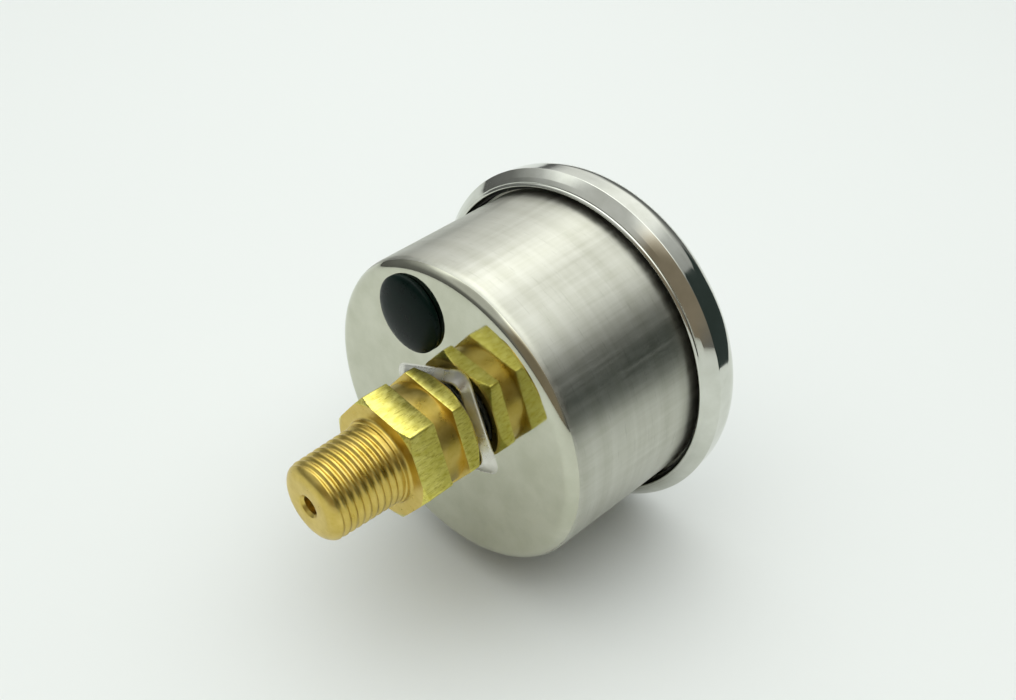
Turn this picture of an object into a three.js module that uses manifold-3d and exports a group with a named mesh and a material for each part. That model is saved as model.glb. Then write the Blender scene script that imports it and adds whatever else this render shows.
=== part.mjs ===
// A 40 mm dial pressure gauge with a brass connector in the centre of its back, and the Bourdon tube
// movement inside it. Millimetres, +Z up. The gauge axis is Y: the thread points to +Y, the dial faces
// -Y, and the origin is the centre of the thread's end face.
import * as THREE from "three";
import { mergeVertices } from "three/addons/utils/BufferGeometryUtils.js";
import Module from "manifold-3d";

const wasm = await Module();
wasm.setup();

// ---------- Driving dimensions ----------

const SEAT = 0.05; // gap left where one fixed piece seats on another
const SOCKETED = 0.1; // radial gap round a screw, pin or post in its hole
const ROUND = 40; // segments of the large turned pieces
const SMALL = 16; // segments of pins and small bores
const CUT_PAST = 1; // how far a cutter passes the piece it cuts

// The upright of the dial is +Z. The filler plug, the pressed boss and the hexagon sit at their own angles.
const backTurn = 67.6; // direction of the filler plug, and of one pair of boss sides, from +X towards +Z
const hexTurn = 9.9; // direction of one corner of the connector's hexagon

// Drawn steel case, measured forwards from the flat back
const caseWall = 0.7;
const caseFrontRadius = 21.25;
const caseDraft = 0.65; // how much narrower the case is at its back
const caseCorner = 1.8;
const caseDepth = 23.9;
const rimWidth = 1.65; // turned-out rim that the bezel grips
const rimThickness = 0.7;

// Square boss pressed out of the back, round the connector
const bossBase = 13.46;
const bossTop = 11.5;
const bossHeight = 1.0;

// Bezel: a rolled ring over the window and the case rim
const bezelStep = 2.75; // its edge stands this far outside the case
const bezelDraft = 0.15; // narrower at the front than at its edge
const bezelWall = 0.7;
const bezelSideLength = 1.9; // straight side, from its crisp edge forwards
const bezelRoundWidth = 2.45; // the front is rounded in from the side, this far inwards
const bezelRoundLength = 3.0; // and this far forwards
const bezelLand = 0.4; // narrow flat at the very front
const bezelLipReach = 0.5; // the lip rolls in past the flat
const bezelRearGap = 0.8; // between the side of the case and the rear lip
const bezelRearInset = 2.8; // rear lip behind the front of the case rim
const bezelEdgeInset = 1.0; // crisp edge behind the front of the case rim

// Window, its gasket, and the rubber that closes the joint at the back of the bezel
const windowThickness = 1.6;
const windowGasketThickness = 0.9;
const windowGasketWidth = 2.2;
const windowClearance = 1.1; // clears the rounding inside the bezel
const rubberClearance = 0.3;
const rubberWidth = 0.7; // how far the rubber wedge reaches outwards under the bezel's rear lip

// Filler plug of soft rubber
const plugRadius = 5.0;
const plugNeck = 3.9;
const plugCrown = 1.5;
const plugEdge = 0.45;
const plugLength = 3.0;
const plugOverhang = 0.17; // how far its edge passes the flat of the back
const plugClearance = 0.3;

// Connector: collar, turned groove, hexagon and tapered pipe thread, with a shank inside the case
const hexAcrossFlats = 14.0;
const collarLength = 2.2;
const grooveLength = 2.85;
const grooveRadius = 6.75;
const hexLength = 4.0;
const hexChamfer = 0.45;
const threadLength = 10.41;
const threadPitch = 0.9408; // 27 threads to the inch
const threadRadius = 5.2; // over the crests beside the hexagon
const threadDepth = 0.7;
const threadTaper = 1 / 32; // on the radius
const threadEndRound = 1.45; // length of the rounded end
const threadEndDrop = 1.7; // how much the rounding takes off the radius
const shoulderRadius = 5.4; // plain ring between the hexagon and the first thread
const shoulderLength = 0.7;
const boreRadius = 1.18;
const shankRadius = 4.8;
const shankLength = 6.6;
const shankClearance = 0.3;
const outerGasketThickness = 0.5;
const outerGasketRadius = 6.2;
const washerThickness = 0.4;
const washerRadius = 8.8;
const nutAcrossFlats = 13;
const nutThickness = 2.7;
const restrictorLength = 3.0;
const restrictorOrifice = 0.35;
const restrictorInset = 1.5; // from the end of the thread

// Stem block: carries the tube and the movement
const blockWidth = 11.6;
const blockTop = 4.2;
const blockDepth = 6.3;
const armWidth = 5.6;
const armThickness = 5.4;
const passageRadius = 0.8;

// Bourdon tube: a flat oval tube bent to a C
const tubeRadius = 14.0;
const tubeThick = 2.0;
const tubeWide = 6.0;
const tubeWall = 0.35;
const tubeRootAngle = -104;
const tubeEndAngle = -8;
const tubeMiddle = 12.0; // depth of its centre line
const tubeSocketMargin = 1.2; // stem block metal round the tube's root

// Movement, between two plates
const plateThickness = 1.0;
const plateSpacing = 5.8;
const plateEdge = 1.8;
const pillarRadius = 1.0;
const pillarSpots = [
  [-7.4, -6.6],
  [7.4, 5.2],
];
const stemScrewSpots = [
  [-4.0, 3.8],
  [3.0, -4.4],
];
const screwHead = 1.2;
const screwHeadHeight = 0.75;
const screwShank = 0.5;
const screwSlot = 0.35;
const screwEase = 0.2; // chamfer round the head
const stemScrewReach = 2.6; // of its shank in the stem block
const stemScrewDepth = 3.0; // of its tapped hole

// Gears
const gearModule = 0.25;
const pinionTeeth = 8;
const sectorTeethInCircle = 64;
const sectorTeethCut = 9;
const sectorFirstTooth = -0.5; // tooth pitches past the line of centres at rest
const sectorDirection = -47.2; // direction of the sector's pivot from the gauge axis
const sectorThickness = 0.8;
const sectorBand = 1.3; // metal left under the teeth, inside the pitch circle
const sectorHub = 1.4;
const spokeWidth = 2.0;
const webRoot = 0.9; // radius at which the web leaves the hub
const webSpread = 1.2; // radians from the spoke to each edge of the web at its root
const sectorOffset = 2.0; // from the back plate
const pinionLength = 2.0;
const backlash = 0.14;
const pressureAngle = 20;
const arborRadius = 0.6;
const pivotRadius = 0.4;
const pivotShoulder = 0.2; // from an arbor's shoulder to the plate
const pivotSunk = 0.2; // from a pivot's end to the plate's outer face

// Link from the tube's tip to the sector's tail
const tailArm = 4.6;
const tailDirection = -30;
const tipInset = 1.93; // the tip's pin inside the tube's centre line
const tipPast = 4.56; // degrees past the end of the tube
const linkThickness = 0.6;
const linkWidth = 1.7;
const linkPinRadius = 0.35;
const pinHead = 0.4; // how far a pin's head passes its shank
const pinHeadHeight = 0.25;
const linkPinPlay = 0.25; // slack of the link's eye round the tip's pin
const earThickness = 0.6;

// Hairspring
const springInner = 1.5;
const springOuter = 4.2;
const springTurns = 4;
const springStrip = 0.14;
const springWide = 0.5;
const springOffset = 4.2; // from the back plate
const studRadius = 0.4;

// Dial and pointer
const dialThickness = 0.5;
const dialInset = 1.2; // dial face behind the front of the case rim
const dialClearance = 0.65;
const dialPostSpots = [
  [-5, 0],
  [5, 0],
];
const dialPostRadius = 1.0;
const dialScrewReach = 2.4; // of its shank in the post
const dialHole = 1.5; // round the pointer's arbor
const pointerGap = 1.0; // between dial and pointer
const pointerThickness = 0.25;
const pointerReach = 15.6;
const pointerTail = 5.2;
const pointerTailRadius = 1.3;
const pointerHalfWidth = 0.95; // beside the hub
const pointerTipHalfWidth = 0.12;
const pointerRest = 225; // direction of the zero mark, from +X towards +Z
const hubRadius = 1.7;
const hubStem = 0.95; // radius of the stem that the pointer is pressed on
const hubHeight = 0.65;
const stopRadius = 11.0;
const stopPinRadius = 0.3;

// ---------- Places worked out from the driving dimensions ----------

const rad = THREE.MathUtils.degToRad;

// A point in the plane of the dial, from its distance to the gauge axis and its direction.
function polar(radius, degrees, from = [0, 0]) {
  return [from[0] + radius * Math.cos(rad(degrees)), from[1] + radius * Math.sin(rad(degrees))];
}

// Heights behind the case, towards +Y from its back
const collarStart = bossHeight + outerGasketThickness + 2 * SEAT;
const grooveStart = collarStart + collarLength;
const hexStart = grooveStart + grooveLength;
const threadStart = hexStart + hexLength;
const connectorReach = threadStart + threadLength;

// Depths in front of the case back, towards the dial
const windowGasketBack = caseDepth + SEAT;
const windowBack = windowGasketBack + windowGasketThickness + SEAT;
const windowFront = windowBack + windowThickness;
const washerBack = caseWall + SEAT;
const nutBack = washerBack + washerThickness + SEAT;
const backPlate = blockTop + blockDepth + SOCKETED;
const plateGap = backPlate + plateThickness;
const frontPlate = plateGap + plateSpacing;
const frontPlateFace = frontPlate + plateThickness;
const dialFace = caseDepth - dialInset;
const dialBack = dialFace - dialThickness;
const pointerBack = dialFace + pointerGap;
const pointerFace = pointerBack + pointerThickness;
const sectorBack = plateGap + sectorOffset;
const pinionBack = sectorBack + (sectorThickness - pinionLength) / 2;
const linkBack = sectorBack - linkThickness - 0.4;
const earBack = linkBack - earThickness - 0.4;
const springBack = plateGap + springOffset;

const caseBackRadius = caseFrontRadius - caseDraft;
const rimRadius = caseFrontRadius + rimWidth;
const bezelRadius = caseFrontRadius + bezelStep;
const bezelFrontRadius = bezelRadius - bezelDraft;
const bezelInside = bezelRadius - bezelWall;
const bezelOpening = bezelFrontRadius - bezelRoundWidth - bezelLand - bezelLipReach;
const bezelRearOpening = caseFrontRadius + bezelRearGap;
const bezelRearDepth = caseDepth - bezelRearInset;
const bezelEdgeDepth = caseDepth - bezelEdgeInset;
const bezelRoundDepth = bezelEdgeDepth + bezelSideLength;
const bezelFrontDepth = bezelRoundDepth + bezelRoundLength;
const windowRadius = bezelInside - windowClearance;
const flatRadius = caseBackRadius - caseCorner;
const plugSpot = polar(flatRadius + plugOverhang - plugRadius, backTurn);
const centreDistance = (gearModule * (pinionTeeth + sectorTeethInCircle)) / 2;
const sectorSpot = polar(centreDistance, sectorDirection);
const tailSpot = polar(tailArm, tailDirection, sectorSpot);
const tipSpot = polar(tubeRadius - tipInset, tubeEndAngle - tipPast);
const halfWidthAtStop = THREE.MathUtils.lerp(
  pointerHalfWidth,
  pointerTipHalfWidth,
  stopRadius / pointerReach,
);
const stopSide = Math.asin((halfWidthAtStop + stopPinRadius + SOCKETED) / stopRadius);
const stopSpot = polar(stopRadius, pointerRest + THREE.MathUtils.radToDeg(stopSide));

// ---------- Shape tools ----------

// A closed three.js geometry as a solid that can be joined and cut.
function solid(geometry) {
  const bare = new THREE.BufferGeometry();
  bare.setAttribute("position", geometry.getAttribute("position"));
  bare.setIndex(geometry.getIndex());
  const merged = mergeVertices(bare);
  const corners = merged.getIndex().array;
  const kept = [];
  for (let i = 0; i < corners.length; i += 3) {
    const [a, b, c] = corners.slice(i, i + 3);
    if (a !== b && b !== c && c !== a) kept.push(a, b, c);
  }
  const build = (triangles) =>
    new wasm.Manifold(
      new wasm.Mesh({
        numProp: 3,
        vertProperties: new Float32Array(merged.getAttribute("position").array),
        triVerts: new Uint32Array(triangles),
      }),
    );
  const made = build(kept);
  return made.volume() > 0 ? made : build(kept.reverse());
}

// Turns a closed outline of [radius, y] points round an axis parallel to Y.
function turned(outline, segments = ROUND, spot = [0, 0]) {
  const points = outline.map(([r, y]) => new THREE.Vector2(r, y));
  points.push(points[0].clone());
  return solid(new THREE.LatheGeometry(points, segments).translate(spot[0], 0, spot[1]));
}

// A round bar or disc between two depths, and a ring.
function disc(radius, back, front, segments = SMALL, spot = [0, 0]) {
  const bar = new THREE.CylinderGeometry(radius, radius, front - back, segments);
  return solid(bar.translate(spot[0], -(back + front) / 2, spot[1]));
}

function ring(inner, outer, back, front, segments = SMALL, spot = [0, 0]) {
  const outline = [
    [inner, -back],
    [outer, -back],
    [outer, -front],
    [inner, -front],
  ];
  return turned(outline, segments, spot);
}

// A cutter for a round hole through a piece between two depths.
function hole(radius, back, front, spot = [0, 0], segments = 12) {
  return disc(radius, back - CUT_PAST, front + CUT_PAST, segments, spot);
}

// A flat piece, drawn in the plane of the dial, between two depths.
function plate(shape, back, front, curveSegments = 6) {
  const flat = new THREE.ExtrudeGeometry(shape, {
    depth: front - back,
    bevelEnabled: false,
    curveSegments,
  });
  return solid(flat.rotateX(Math.PI / 2).translate(0, -back, 0));
}

function box(width, height, back, front, spot = [0, 0], turn = 0) {
  const block = new THREE.BoxGeometry(width, front - back, height);
  block.rotateY(-rad(turn));
  return solid(block.translate(spot[0], -(back + front) / 2, spot[1]));
}

// A hexagonal prism along Y with one corner in a given direction.
function hexPrism(acrossFlats, back, front, turn) {
  const corner = acrossFlats / 2 / Math.cos(Math.PI / 6);
  const prism = new THREE.CylinderGeometry(corner, corner, front - back, 6);
  prism.rotateY(rad(90 - turn));
  return solid(prism.translate(0, -(back + front) / 2, 0));
}

// A bar with round ends, from one spot to another, in the plane of the dial.
function roundBar(from, to, width) {
  const along = Math.atan2(to[1] - from[1], to[0] - from[0]);
  const shape = new THREE.Shape();
  shape.absarc(to[0], to[1], width / 2, along - Math.PI / 2, along + Math.PI / 2, false);
  shape.absarc(from[0], from[1], width / 2, along + Math.PI / 2, along + 1.5 * Math.PI, false);
  shape.closePath();
  return shape;
}

// An arc or spiral in the plane of the dial, at one depth.
class Coil extends THREE.Curve {
  constructor(startRadius, endRadius, startAngle, endAngle, depth) {
    super();
    Object.assign(this, { startRadius, endRadius, startAngle, endAngle, depth });
  }

  getPoint(t, target = new THREE.Vector3()) {
    const radius = THREE.MathUtils.lerp(this.startRadius, this.endRadius, t);
    const [x, z] = polar(radius, THREE.MathUtils.lerp(this.startAngle, this.endAngle, t));
    return target.set(x, -this.depth, z);
  }
}

// Sweeps a section along a coil: the section's x is along the gauge axis, its y is radial.
function swept(section, coil, steps) {
  const options = { steps, extrudePath: coil, bevelEnabled: false, curveSegments: 3 };
  return solid(new THREE.ExtrudeGeometry(section, options));
}

function flatOval(wide, thick) {
  const straight = (wide - thick) / 2;
  const shape = new THREE.Shape();
  shape.absarc(straight, 0, thick / 2, -Math.PI / 2, Math.PI / 2, false);
  shape.absarc(-straight, 0, thick / 2, Math.PI / 2, 1.5 * Math.PI, false);
  shape.closePath();
  return shape;
}

// ---------- The assembly ----------

const gauge = new THREE.Group();
const fromCaseBack = new THREE.Group();
fromCaseBack.position.y = -connectorReach;
gauge.add(fromCaseBack);

const finish = {
  steel: [0xd6d4cf, 0.18, 1],
  polished: [0xe2e0da, 0.06, 1],
  brass: [0xc9a24a, 0.28, 1],
  bronze: [0xb98545, 0.35, 1],
  screwSteel: [0xa9a9a6, 0.35, 1],
  rubber: [0x1b1f1c, 0.55, 0],
  window: [0xf2f6f4, 0.04, 0],
  dial: [0xf4f3ee, 0.6, 0],
  black: [0x141414, 0.5, 0],
};

function add(name, shape, [color, roughness, metalness]) {
  const made = shape.getMesh();
  const geometry = new THREE.BufferGeometry();
  geometry.setAttribute("position", new THREE.BufferAttribute(made.vertProperties, made.numProp));
  geometry.setIndex(new THREE.BufferAttribute(made.triVerts, 1));
  geometry.computeVertexNormals();
  const mesh = new THREE.Mesh(
    geometry,
    new THREE.MeshStandardMaterial({ color, roughness, metalness }),
  );
  mesh.name = name;
  fromCaseBack.add(mesh);
}

// ---------- Case ----------

// The drawn cup, from the edge of its back hole out to the rim and back along the inside.
function drawnCup() {
  const inner = caseCorner - caseWall;
  const holeRadius = shankRadius + shankClearance;
  const outline = [[holeRadius, 0]];
  for (let i = 0; i <= 4; i++) {
    const turn = (i / 4) * (Math.PI / 2);
    outline.push([
      flatRadius + caseCorner * Math.sin(turn),
      -caseCorner + caseCorner * Math.cos(turn),
    ]);
  }
  outline.push(
    [caseFrontRadius, -(caseDepth - rimThickness)],
    [rimRadius, -(caseDepth - rimThickness)],
    [rimRadius, -caseDepth],
    [caseFrontRadius - caseWall, -caseDepth],
  );
  for (let i = 3; i >= 0; i--) {
    const turn = (i / 3) * (Math.PI / 2);
    outline.push([
      flatRadius + inner * Math.sin(turn),
      -caseCorner + inner * Math.cos(turn),
    ]);
  }
  outline.push([holeRadius, -caseWall]);
  return turned(outline);
}

// A four-sided frustum with its sides square to the direction of the filler plug.
function bossBlock(base, top, back, front) {
  const taper = new THREE.CylinderGeometry(
    top / Math.SQRT2,
    base / Math.SQRT2,
    back - front,
    4,
  );
  taper.rotateY(rad(45 - backTurn));
  return solid(taper.translate(0, (back + front) / 2, 0));
}

function caseShell() {
  const hollow = bossBlock(
    bossBase - 2 * caseWall,
    bossTop - 2 * caseWall,
    bossHeight - caseWall,
    -caseWall - SEAT,
  );
  const connectorHole = hole(shankRadius + shankClearance, -bossHeight, caseWall, [0, 0], ROUND);
  const plugHole = hole(plugNeck + plugClearance, 0, caseWall, plugSpot, 24);
  return drawnCup()
    .add(bossBlock(bossBase, bossTop, bossHeight, -caseWall / 2))
    .subtract(hollow)
    .subtract(connectorHole)
    .subtract(plugHole);
}

// A quarter of an ellipse in the outline, from a radius and depth, inwards and forwards.
function quarterRound(radius, depth, width, length, steps) {
  const points = [];
  for (let i = 0; i <= steps; i++) {
    const turn = (i / steps) * (Math.PI / 2);
    points.push([radius - width + width * Math.cos(turn), -(depth + length * Math.sin(turn))]);
  }
  return points;
}

function bezelRing() {
  const front = bezelFrontDepth;
  const seat = windowFront + SEAT;
  const slopeMiddle = [
    (bezelRearOpening + bezelRadius) / 2 + 0.12,
    -(bezelRearDepth + bezelEdgeDepth) / 2 + 0.12,
  ];
  const land = bezelFrontRadius - bezelRoundWidth - bezelLand;
  return turned([
    [bezelRearOpening, -(bezelRearDepth + 0.8)],
    [bezelRearOpening, -bezelRearDepth],
    slopeMiddle,
    [bezelRadius, -bezelEdgeDepth],
    ...quarterRound(bezelFrontRadius, bezelRoundDepth, bezelRoundWidth, bezelRoundLength, 5),
    [land, -front],
    [land - 0.35, -(front - 0.25)],
    [bezelOpening, -(front - 0.7)],
    [bezelOpening, -seat],
    [windowRadius + 0.2, -seat],
    [bezelInside - 0.3, -(bezelRoundDepth + 0.8)],
    [bezelInside, -bezelRoundDepth],
    [bezelInside, -(bezelEdgeDepth + 0.2)],
  ].reverse());
}

// Wedge of rubber behind the rim, just showing between the bezel and the side of the case.
function caseGasket() {
  const inside = caseFrontRadius + rubberClearance;
  const outside = bezelRearOpening + rubberWidth;
  const front = caseDepth - rimThickness - SOCKETED;
  return turned([
    [inside, -(bezelRearDepth + 0.65)],
    [inside, -front],
    [outside, -front],
    [bezelRearOpening - 0.15, -(bezelRearDepth + 1.0)],
  ]);
}

function fillPlug() {
  const outline = [
    [0, -plugLength],
    [plugNeck - 0.5, -plugLength],
    [plugNeck, -plugLength + 0.8],
    [plugNeck, SEAT],
    [plugRadius, SEAT],
    [plugRadius, plugEdge],
  ];
  const steps = 4;
  for (let i = 1; i <= steps; i++) {
    const turn = (i / steps) * (Math.PI / 2);
    outline.push([
      i === steps ? 0 : plugRadius * Math.cos(turn),
      plugEdge + (plugCrown - plugEdge) * Math.sin(turn),
    ]);
  }
  return turned(outline, 24, plugSpot);
}

add("case_shell", caseShell(), finish.polished);
add("bezel_ring", bezelRing(), finish.polished);
add("case_gasket", caseGasket(), finish.rubber);
add(
  "window_gasket",
  ring(windowRadius - windowGasketWidth, windowRadius, windowGasketBack, windowBack - SEAT, ROUND),
  finish.rubber,
);
add("window_lens", disc(windowRadius, windowBack, windowFront, ROUND), finish.window);
add("fill_plug", fillPlug(), finish.rubber);

// ---------- Connector ----------

// The thread's tapered outline, from the hexagon's face to the end, as rings of crests and roots.
function threadOutline() {
  const crest = (y) => threadRadius - (y - threadStart) * threadTaper;
  const firstRoot = threadStart + shoulderLength + threadPitch / 4;
  const points = [
    [shoulderRadius, threadStart + shoulderLength],
    [crest(threadStart) - threadDepth, firstRoot],
  ];
  const lastCrest = connectorReach - threadEndRound;
  for (let y = firstRoot + threadPitch / 2; y < lastCrest; y += threadPitch) {
    points.push([crest(y), y]);
    points.push([crest(y) - threadDepth, y + threadPitch / 2]);
  }
  for (let i = 1; i <= 3; i++) {
    const turn = (i / 3) * (Math.PI / 2);
    points.push([
      crest(connectorReach) - threadEndDrop * (1 - Math.cos(turn)),
      lastCrest + threadEndRound * Math.sin(turn),
    ]);
  }
  return points;
}

function connectorSocket() {
  const collar = hexPrism(hexAcrossFlats, -grooveStart, -collarStart, hexTurn);
  const hexagon = hexPrism(hexAcrossFlats, -threadStart, -hexStart, hexTurn);
  const corner = hexAcrossFlats / 2 / Math.cos(Math.PI / 6);
  const chamfered = turned([
    [0, collarStart],
    [hexAcrossFlats / 2 + 0.1, collarStart],
    [corner, collarStart + hexChamfer * 1.8],
    [corner, threadStart - hexChamfer],
    [hexAcrossFlats / 2 + 0.3, threadStart],
    [0, threadStart],
  ]);
  const turnedParts = turned([
    [0, -shankLength],
    [shankRadius, -shankLength],
    [shankRadius, collarStart + 0.2],
    [grooveRadius, collarStart + 0.2],
    [grooveRadius, threadStart - 0.2],
    [shoulderRadius, threadStart - 0.2],
    ...threadOutline(),
    [0, connectorReach],
  ]);
  return collar
    .add(hexagon)
    .intersect(chamfered)
    .add(turnedParts)
    .subtract(hole(boreRadius, -connectorReach, shankLength, [0, 0], SMALL));
}

add("connector_socket", connectorSocket(), finish.brass);
add(
  "socket_gasket",
  ring(
    shankRadius + SOCKETED,
    outerGasketRadius,
    -collarStart + SEAT,
    -bossHeight - SEAT,
    24,
  ),
  finish.rubber,
);
add(
  "socket_washer",
  ring(shankRadius + SOCKETED, washerRadius, washerBack, washerBack + washerThickness, 24),
  finish.screwSteel,
);
add(
  "socket_nut",
  hexPrism(nutAcrossFlats, nutBack, nutBack + nutThickness, hexTurn).subtract(
    hole(shankRadius + SOCKETED, nutBack, nutBack + nutThickness, [0, 0], 24),
  ),
  finish.brass,
);
add(
  "restrictor_screw",
  ring(
    restrictorOrifice,
    boreRadius - SOCKETED,
    -(connectorReach - restrictorInset),
    -(connectorReach - restrictorInset - restrictorLength),
  ),
  finish.brass,
);

// ---------- Stem block and Bourdon tube ----------

const tubeFront = tubeMiddle + tubeWide / 2;
const tubeEndTurn = tubeEndAngle - 360; // the C runs clockwise, seen from the dial

function bourdonTube() {
  const section = flatOval(tubeWide, tubeThick);
  section.holes.push(flatOval(tubeWide - 2 * tubeWall, tubeThick - 2 * tubeWall));
  const root = tubeRootAngle - 2;
  return swept(section, new Coil(tubeRadius, tubeRadius, root, tubeEndTurn, tubeMiddle), 30);
}

function stemBlock() {
  const armEnd = tubeRadius + tubeThick / 2 + tubeSocketMargin;
  const headLength = tubeThick + 2 * tubeSocketMargin;
  const blockFront = blockTop + blockDepth;
  const turn = tubeRootAngle;
  const arm = box(
    armEnd,
    armWidth,
    blockFront - armThickness,
    blockFront,
    polar(armEnd / 2, turn),
    turn,
  );
  const head = box(
    headLength,
    armWidth,
    blockFront - armThickness,
    tubeFront + tubeSocketMargin,
    polar(armEnd - headLength / 2, turn),
    turn,
  );
  const tubeSocket = swept(
    flatOval(tubeWide + 2 * SOCKETED, tubeThick + 2 * SOCKETED),
    new Coil(tubeRadius, tubeRadius, turn - 1, turn - 24, tubeMiddle),
    6,
  );
  const passageDepth = tubeMiddle - tubeWide / 2 + passageRadius;
  const passage = new THREE.CylinderGeometry(passageRadius, passageRadius, tubeRadius, 10)
    .rotateX(Math.PI / 2)
    .translate(0, 0, tubeRadius / 2)
    .rotateY(rad(90 - turn))
    .translate(0, -passageDepth, 0);
  let block = box(blockWidth, blockWidth, blockTop, blockFront)
    .add(arm)
    .add(head)
    .subtract(tubeSocket)
    .subtract(disc(shankRadius + SOCKETED, blockTop - 1, shankLength + 0.4, 24))
    .subtract(disc(boreRadius, shankLength, passageDepth, 12))
    .subtract(solid(passage));
  for (const spot of stemScrewSpots) {
    block = block.subtract(
      hole(screwShank + SOCKETED, blockFront - stemScrewDepth, blockFront, spot),
    );
  }
  return block;
}

// Plug soldered into the tube's free end, with an ear that holds the link's pin.
function tubeTip() {
  const start = tubeEndAngle - 0.6;
  const end = start - 6;
  const cap = new THREE.Shape();
  cap.absarc(0, 0, tubeRadius + tubeThick / 2, rad(end), rad(start), false);
  cap.absarc(0, 0, tubeRadius - tipInset + linkWidth / 2 + 0.43, rad(start), rad(end), true);
  cap.closePath();
  const ear = roundBar(tipSpot, polar(tubeRadius, start - 3.4), 1.4);
  const half = tubeWide / 2 - 0.4;
  return plate(cap, tubeMiddle - half, tubeMiddle + half, 3)
    .add(plate(ear, earBack, earBack + earThickness, 8))
    .subtract(hole(linkPinRadius + SEAT, earBack, earBack + earThickness, tipSpot));
}

add("stem_block", stemBlock(), finish.brass);
add("bourdon_tube", bourdonTube(), finish.bronze);
add("tube_tip", tubeTip(), finish.brass);

// ---------- Movement frame ----------

// A slotted cheese-head screw with its head towards the dial, or turned round to face the back.
function screw(spot, headBack, shankTo) {
  const sign = shankTo < headBack ? 1 : -1;
  const headFront = headBack + sign * screwHeadHeight;
  const outline = [
    [0, -shankTo],
    [screwShank, -shankTo],
    [screwShank, -headBack],
    [screwHead, -headBack],
    [screwHead, -(headFront - sign * screwEase)],
    [screwHead - screwEase, -headFront],
    [0, -headFront],
  ];
  const slotBottom = headFront - sign * screwHeadHeight * 0.45;
  const slot = box(
    3 * screwHead,
    screwSlot,
    Math.min(slotBottom, headFront + sign),
    Math.max(slotBottom, headFront + sign),
    spot,
    35,
  );
  return turned(outline, 12, spot).subtract(slot);
}

// Movement plates: a rounded rectangle that takes in the pillars and the sector's pivot.
function movementPlate(back, holes) {
  const xs = [...pillarSpots.map(([x]) => x), sectorSpot[0]];
  const zs = [...pillarSpots.map(([, z]) => z), sectorSpot[1]];
  const [left, right] = [Math.min(...xs) - plateEdge, Math.max(...xs) + plateEdge];
  const [low, high] = [Math.min(...zs) - plateEdge, Math.max(...zs) + plateEdge];
  const r = plateEdge;
  const shape = new THREE.Shape();
  shape.absarc(right - r, high - r, r, 0, Math.PI / 2, false);
  shape.absarc(left + r, high - r, r, Math.PI / 2, Math.PI, false);
  shape.absarc(left + r, low + r, r, Math.PI, 1.5 * Math.PI, false);
  shape.absarc(right - r, low + r, r, 1.5 * Math.PI, 2 * Math.PI, false);
  shape.closePath();
  let made = plate(shape, back, back + plateThickness, 5);
  for (const [spot, radius] of holes) {
    made = made.subtract(hole(radius, back, back + plateThickness, spot));
  }
  return made;
}

const pivotHoles = [
  [[0, 0], pivotRadius + SOCKETED],
  [sectorSpot, pivotRadius + SOCKETED],
];
const screwHole = (spot) => [spot, screwShank + SOCKETED];

add(
  "movement_back_plate",
  movementPlate(backPlate, [
    ...pivotHoles,
    ...pillarSpots.map(screwHole),
    ...stemScrewSpots.map(screwHole),
  ]),
  finish.brass,
);
add(
  "movement_front_plate",
  movementPlate(frontPlate, [...pivotHoles, ...pillarSpots.map(screwHole)]),
  finish.brass,
);
stemScrewSpots.forEach((spot, i) => {
  const head = plateGap + SEAT;
  add(`stem_screw_${i + 1}`, screw(spot, head, head - plateThickness - stemScrewReach), finish.screwSteel);
});
pillarSpots.forEach((spot, i) => {
  const [back, front] = [plateGap + SEAT, frontPlate - SEAT];
  add(
    `movement_pillar_${i + 1}`,
    ring(screwShank + SOCKETED, pillarRadius, back, front, 12, spot),
    finish.brass,
  );
  const reach = plateThickness + plateSpacing / 2 - 0.4;
  const behind = backPlate - SEAT;
  const before = frontPlateFace + SEAT;
  add(`movement_screw_${2 * i + 1}`, screw(spot, before, before - reach), finish.screwSteel);
  add(`movement_screw_${2 * i + 2}`, screw(spot, behind, behind + reach), finish.screwSteel);
});

// ---------- Gears, link and hairspring ----------

const involute = (angle) => Math.tan(angle) - angle;

// Half the angle that a tooth spans at a radius.
function toothHalfAngle(teeth, radius) {
  const pitch = (gearModule * teeth) / 2;
  const base = pitch * Math.cos(rad(pressureAngle));
  const here = radius > base ? involute(Math.acos(base / radius)) : 0;
  const thin = backlash / (2 * pitch);
  return Math.PI / (2 * teeth) - thin + involute(rad(pressureAngle)) - here;
}

// The points of one tooth, from its root on one side to its root on the other.
function toothPoints(teeth, centreAngle, centre) {
  const pitch = (gearModule * teeth) / 2;
  const radii = [pitch - 1.2 * gearModule, pitch, pitch + 0.85 * gearModule];
  const side = (sign) =>
    radii.map((radius) => {
      const angle = centreAngle + sign * toothHalfAngle(teeth, radius);
      return new THREE.Vector2(
        centre[0] + radius * Math.cos(angle),
        centre[1] + radius * Math.sin(angle),
      );
    });
  return [...side(-1), ...side(1).reverse()];
}

function pinion() {
  const points = [];
  for (let i = 0; i < pinionTeeth; i++) {
    points.push(
      ...toothPoints(pinionTeeth, rad(sectorDirection) + (i * 2 * Math.PI) / pinionTeeth, [0, 0]),
    );
  }
  const arborEnd = pointerFace + hubHeight - 0.15;
  const arbor = turned(
    [
      [0, -(backPlate + pivotSunk)],
      [0, -arborEnd],
      [pivotRadius - 0.05, -arborEnd],
      [pivotRadius, -pointerBack],
      [pivotRadius, -(frontPlate - pivotShoulder)],
      [arborRadius, -(frontPlate - pivotShoulder)],
      [arborRadius, -(plateGap + pivotShoulder)],
      [pivotRadius, -(plateGap + pivotShoulder)],
      [pivotRadius, -(backPlate + pivotSunk)],
    ],
    12,
  );
  return arbor.add(plate(new THREE.Shape(points), pinionBack, pinionBack + pinionLength));
}

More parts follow.
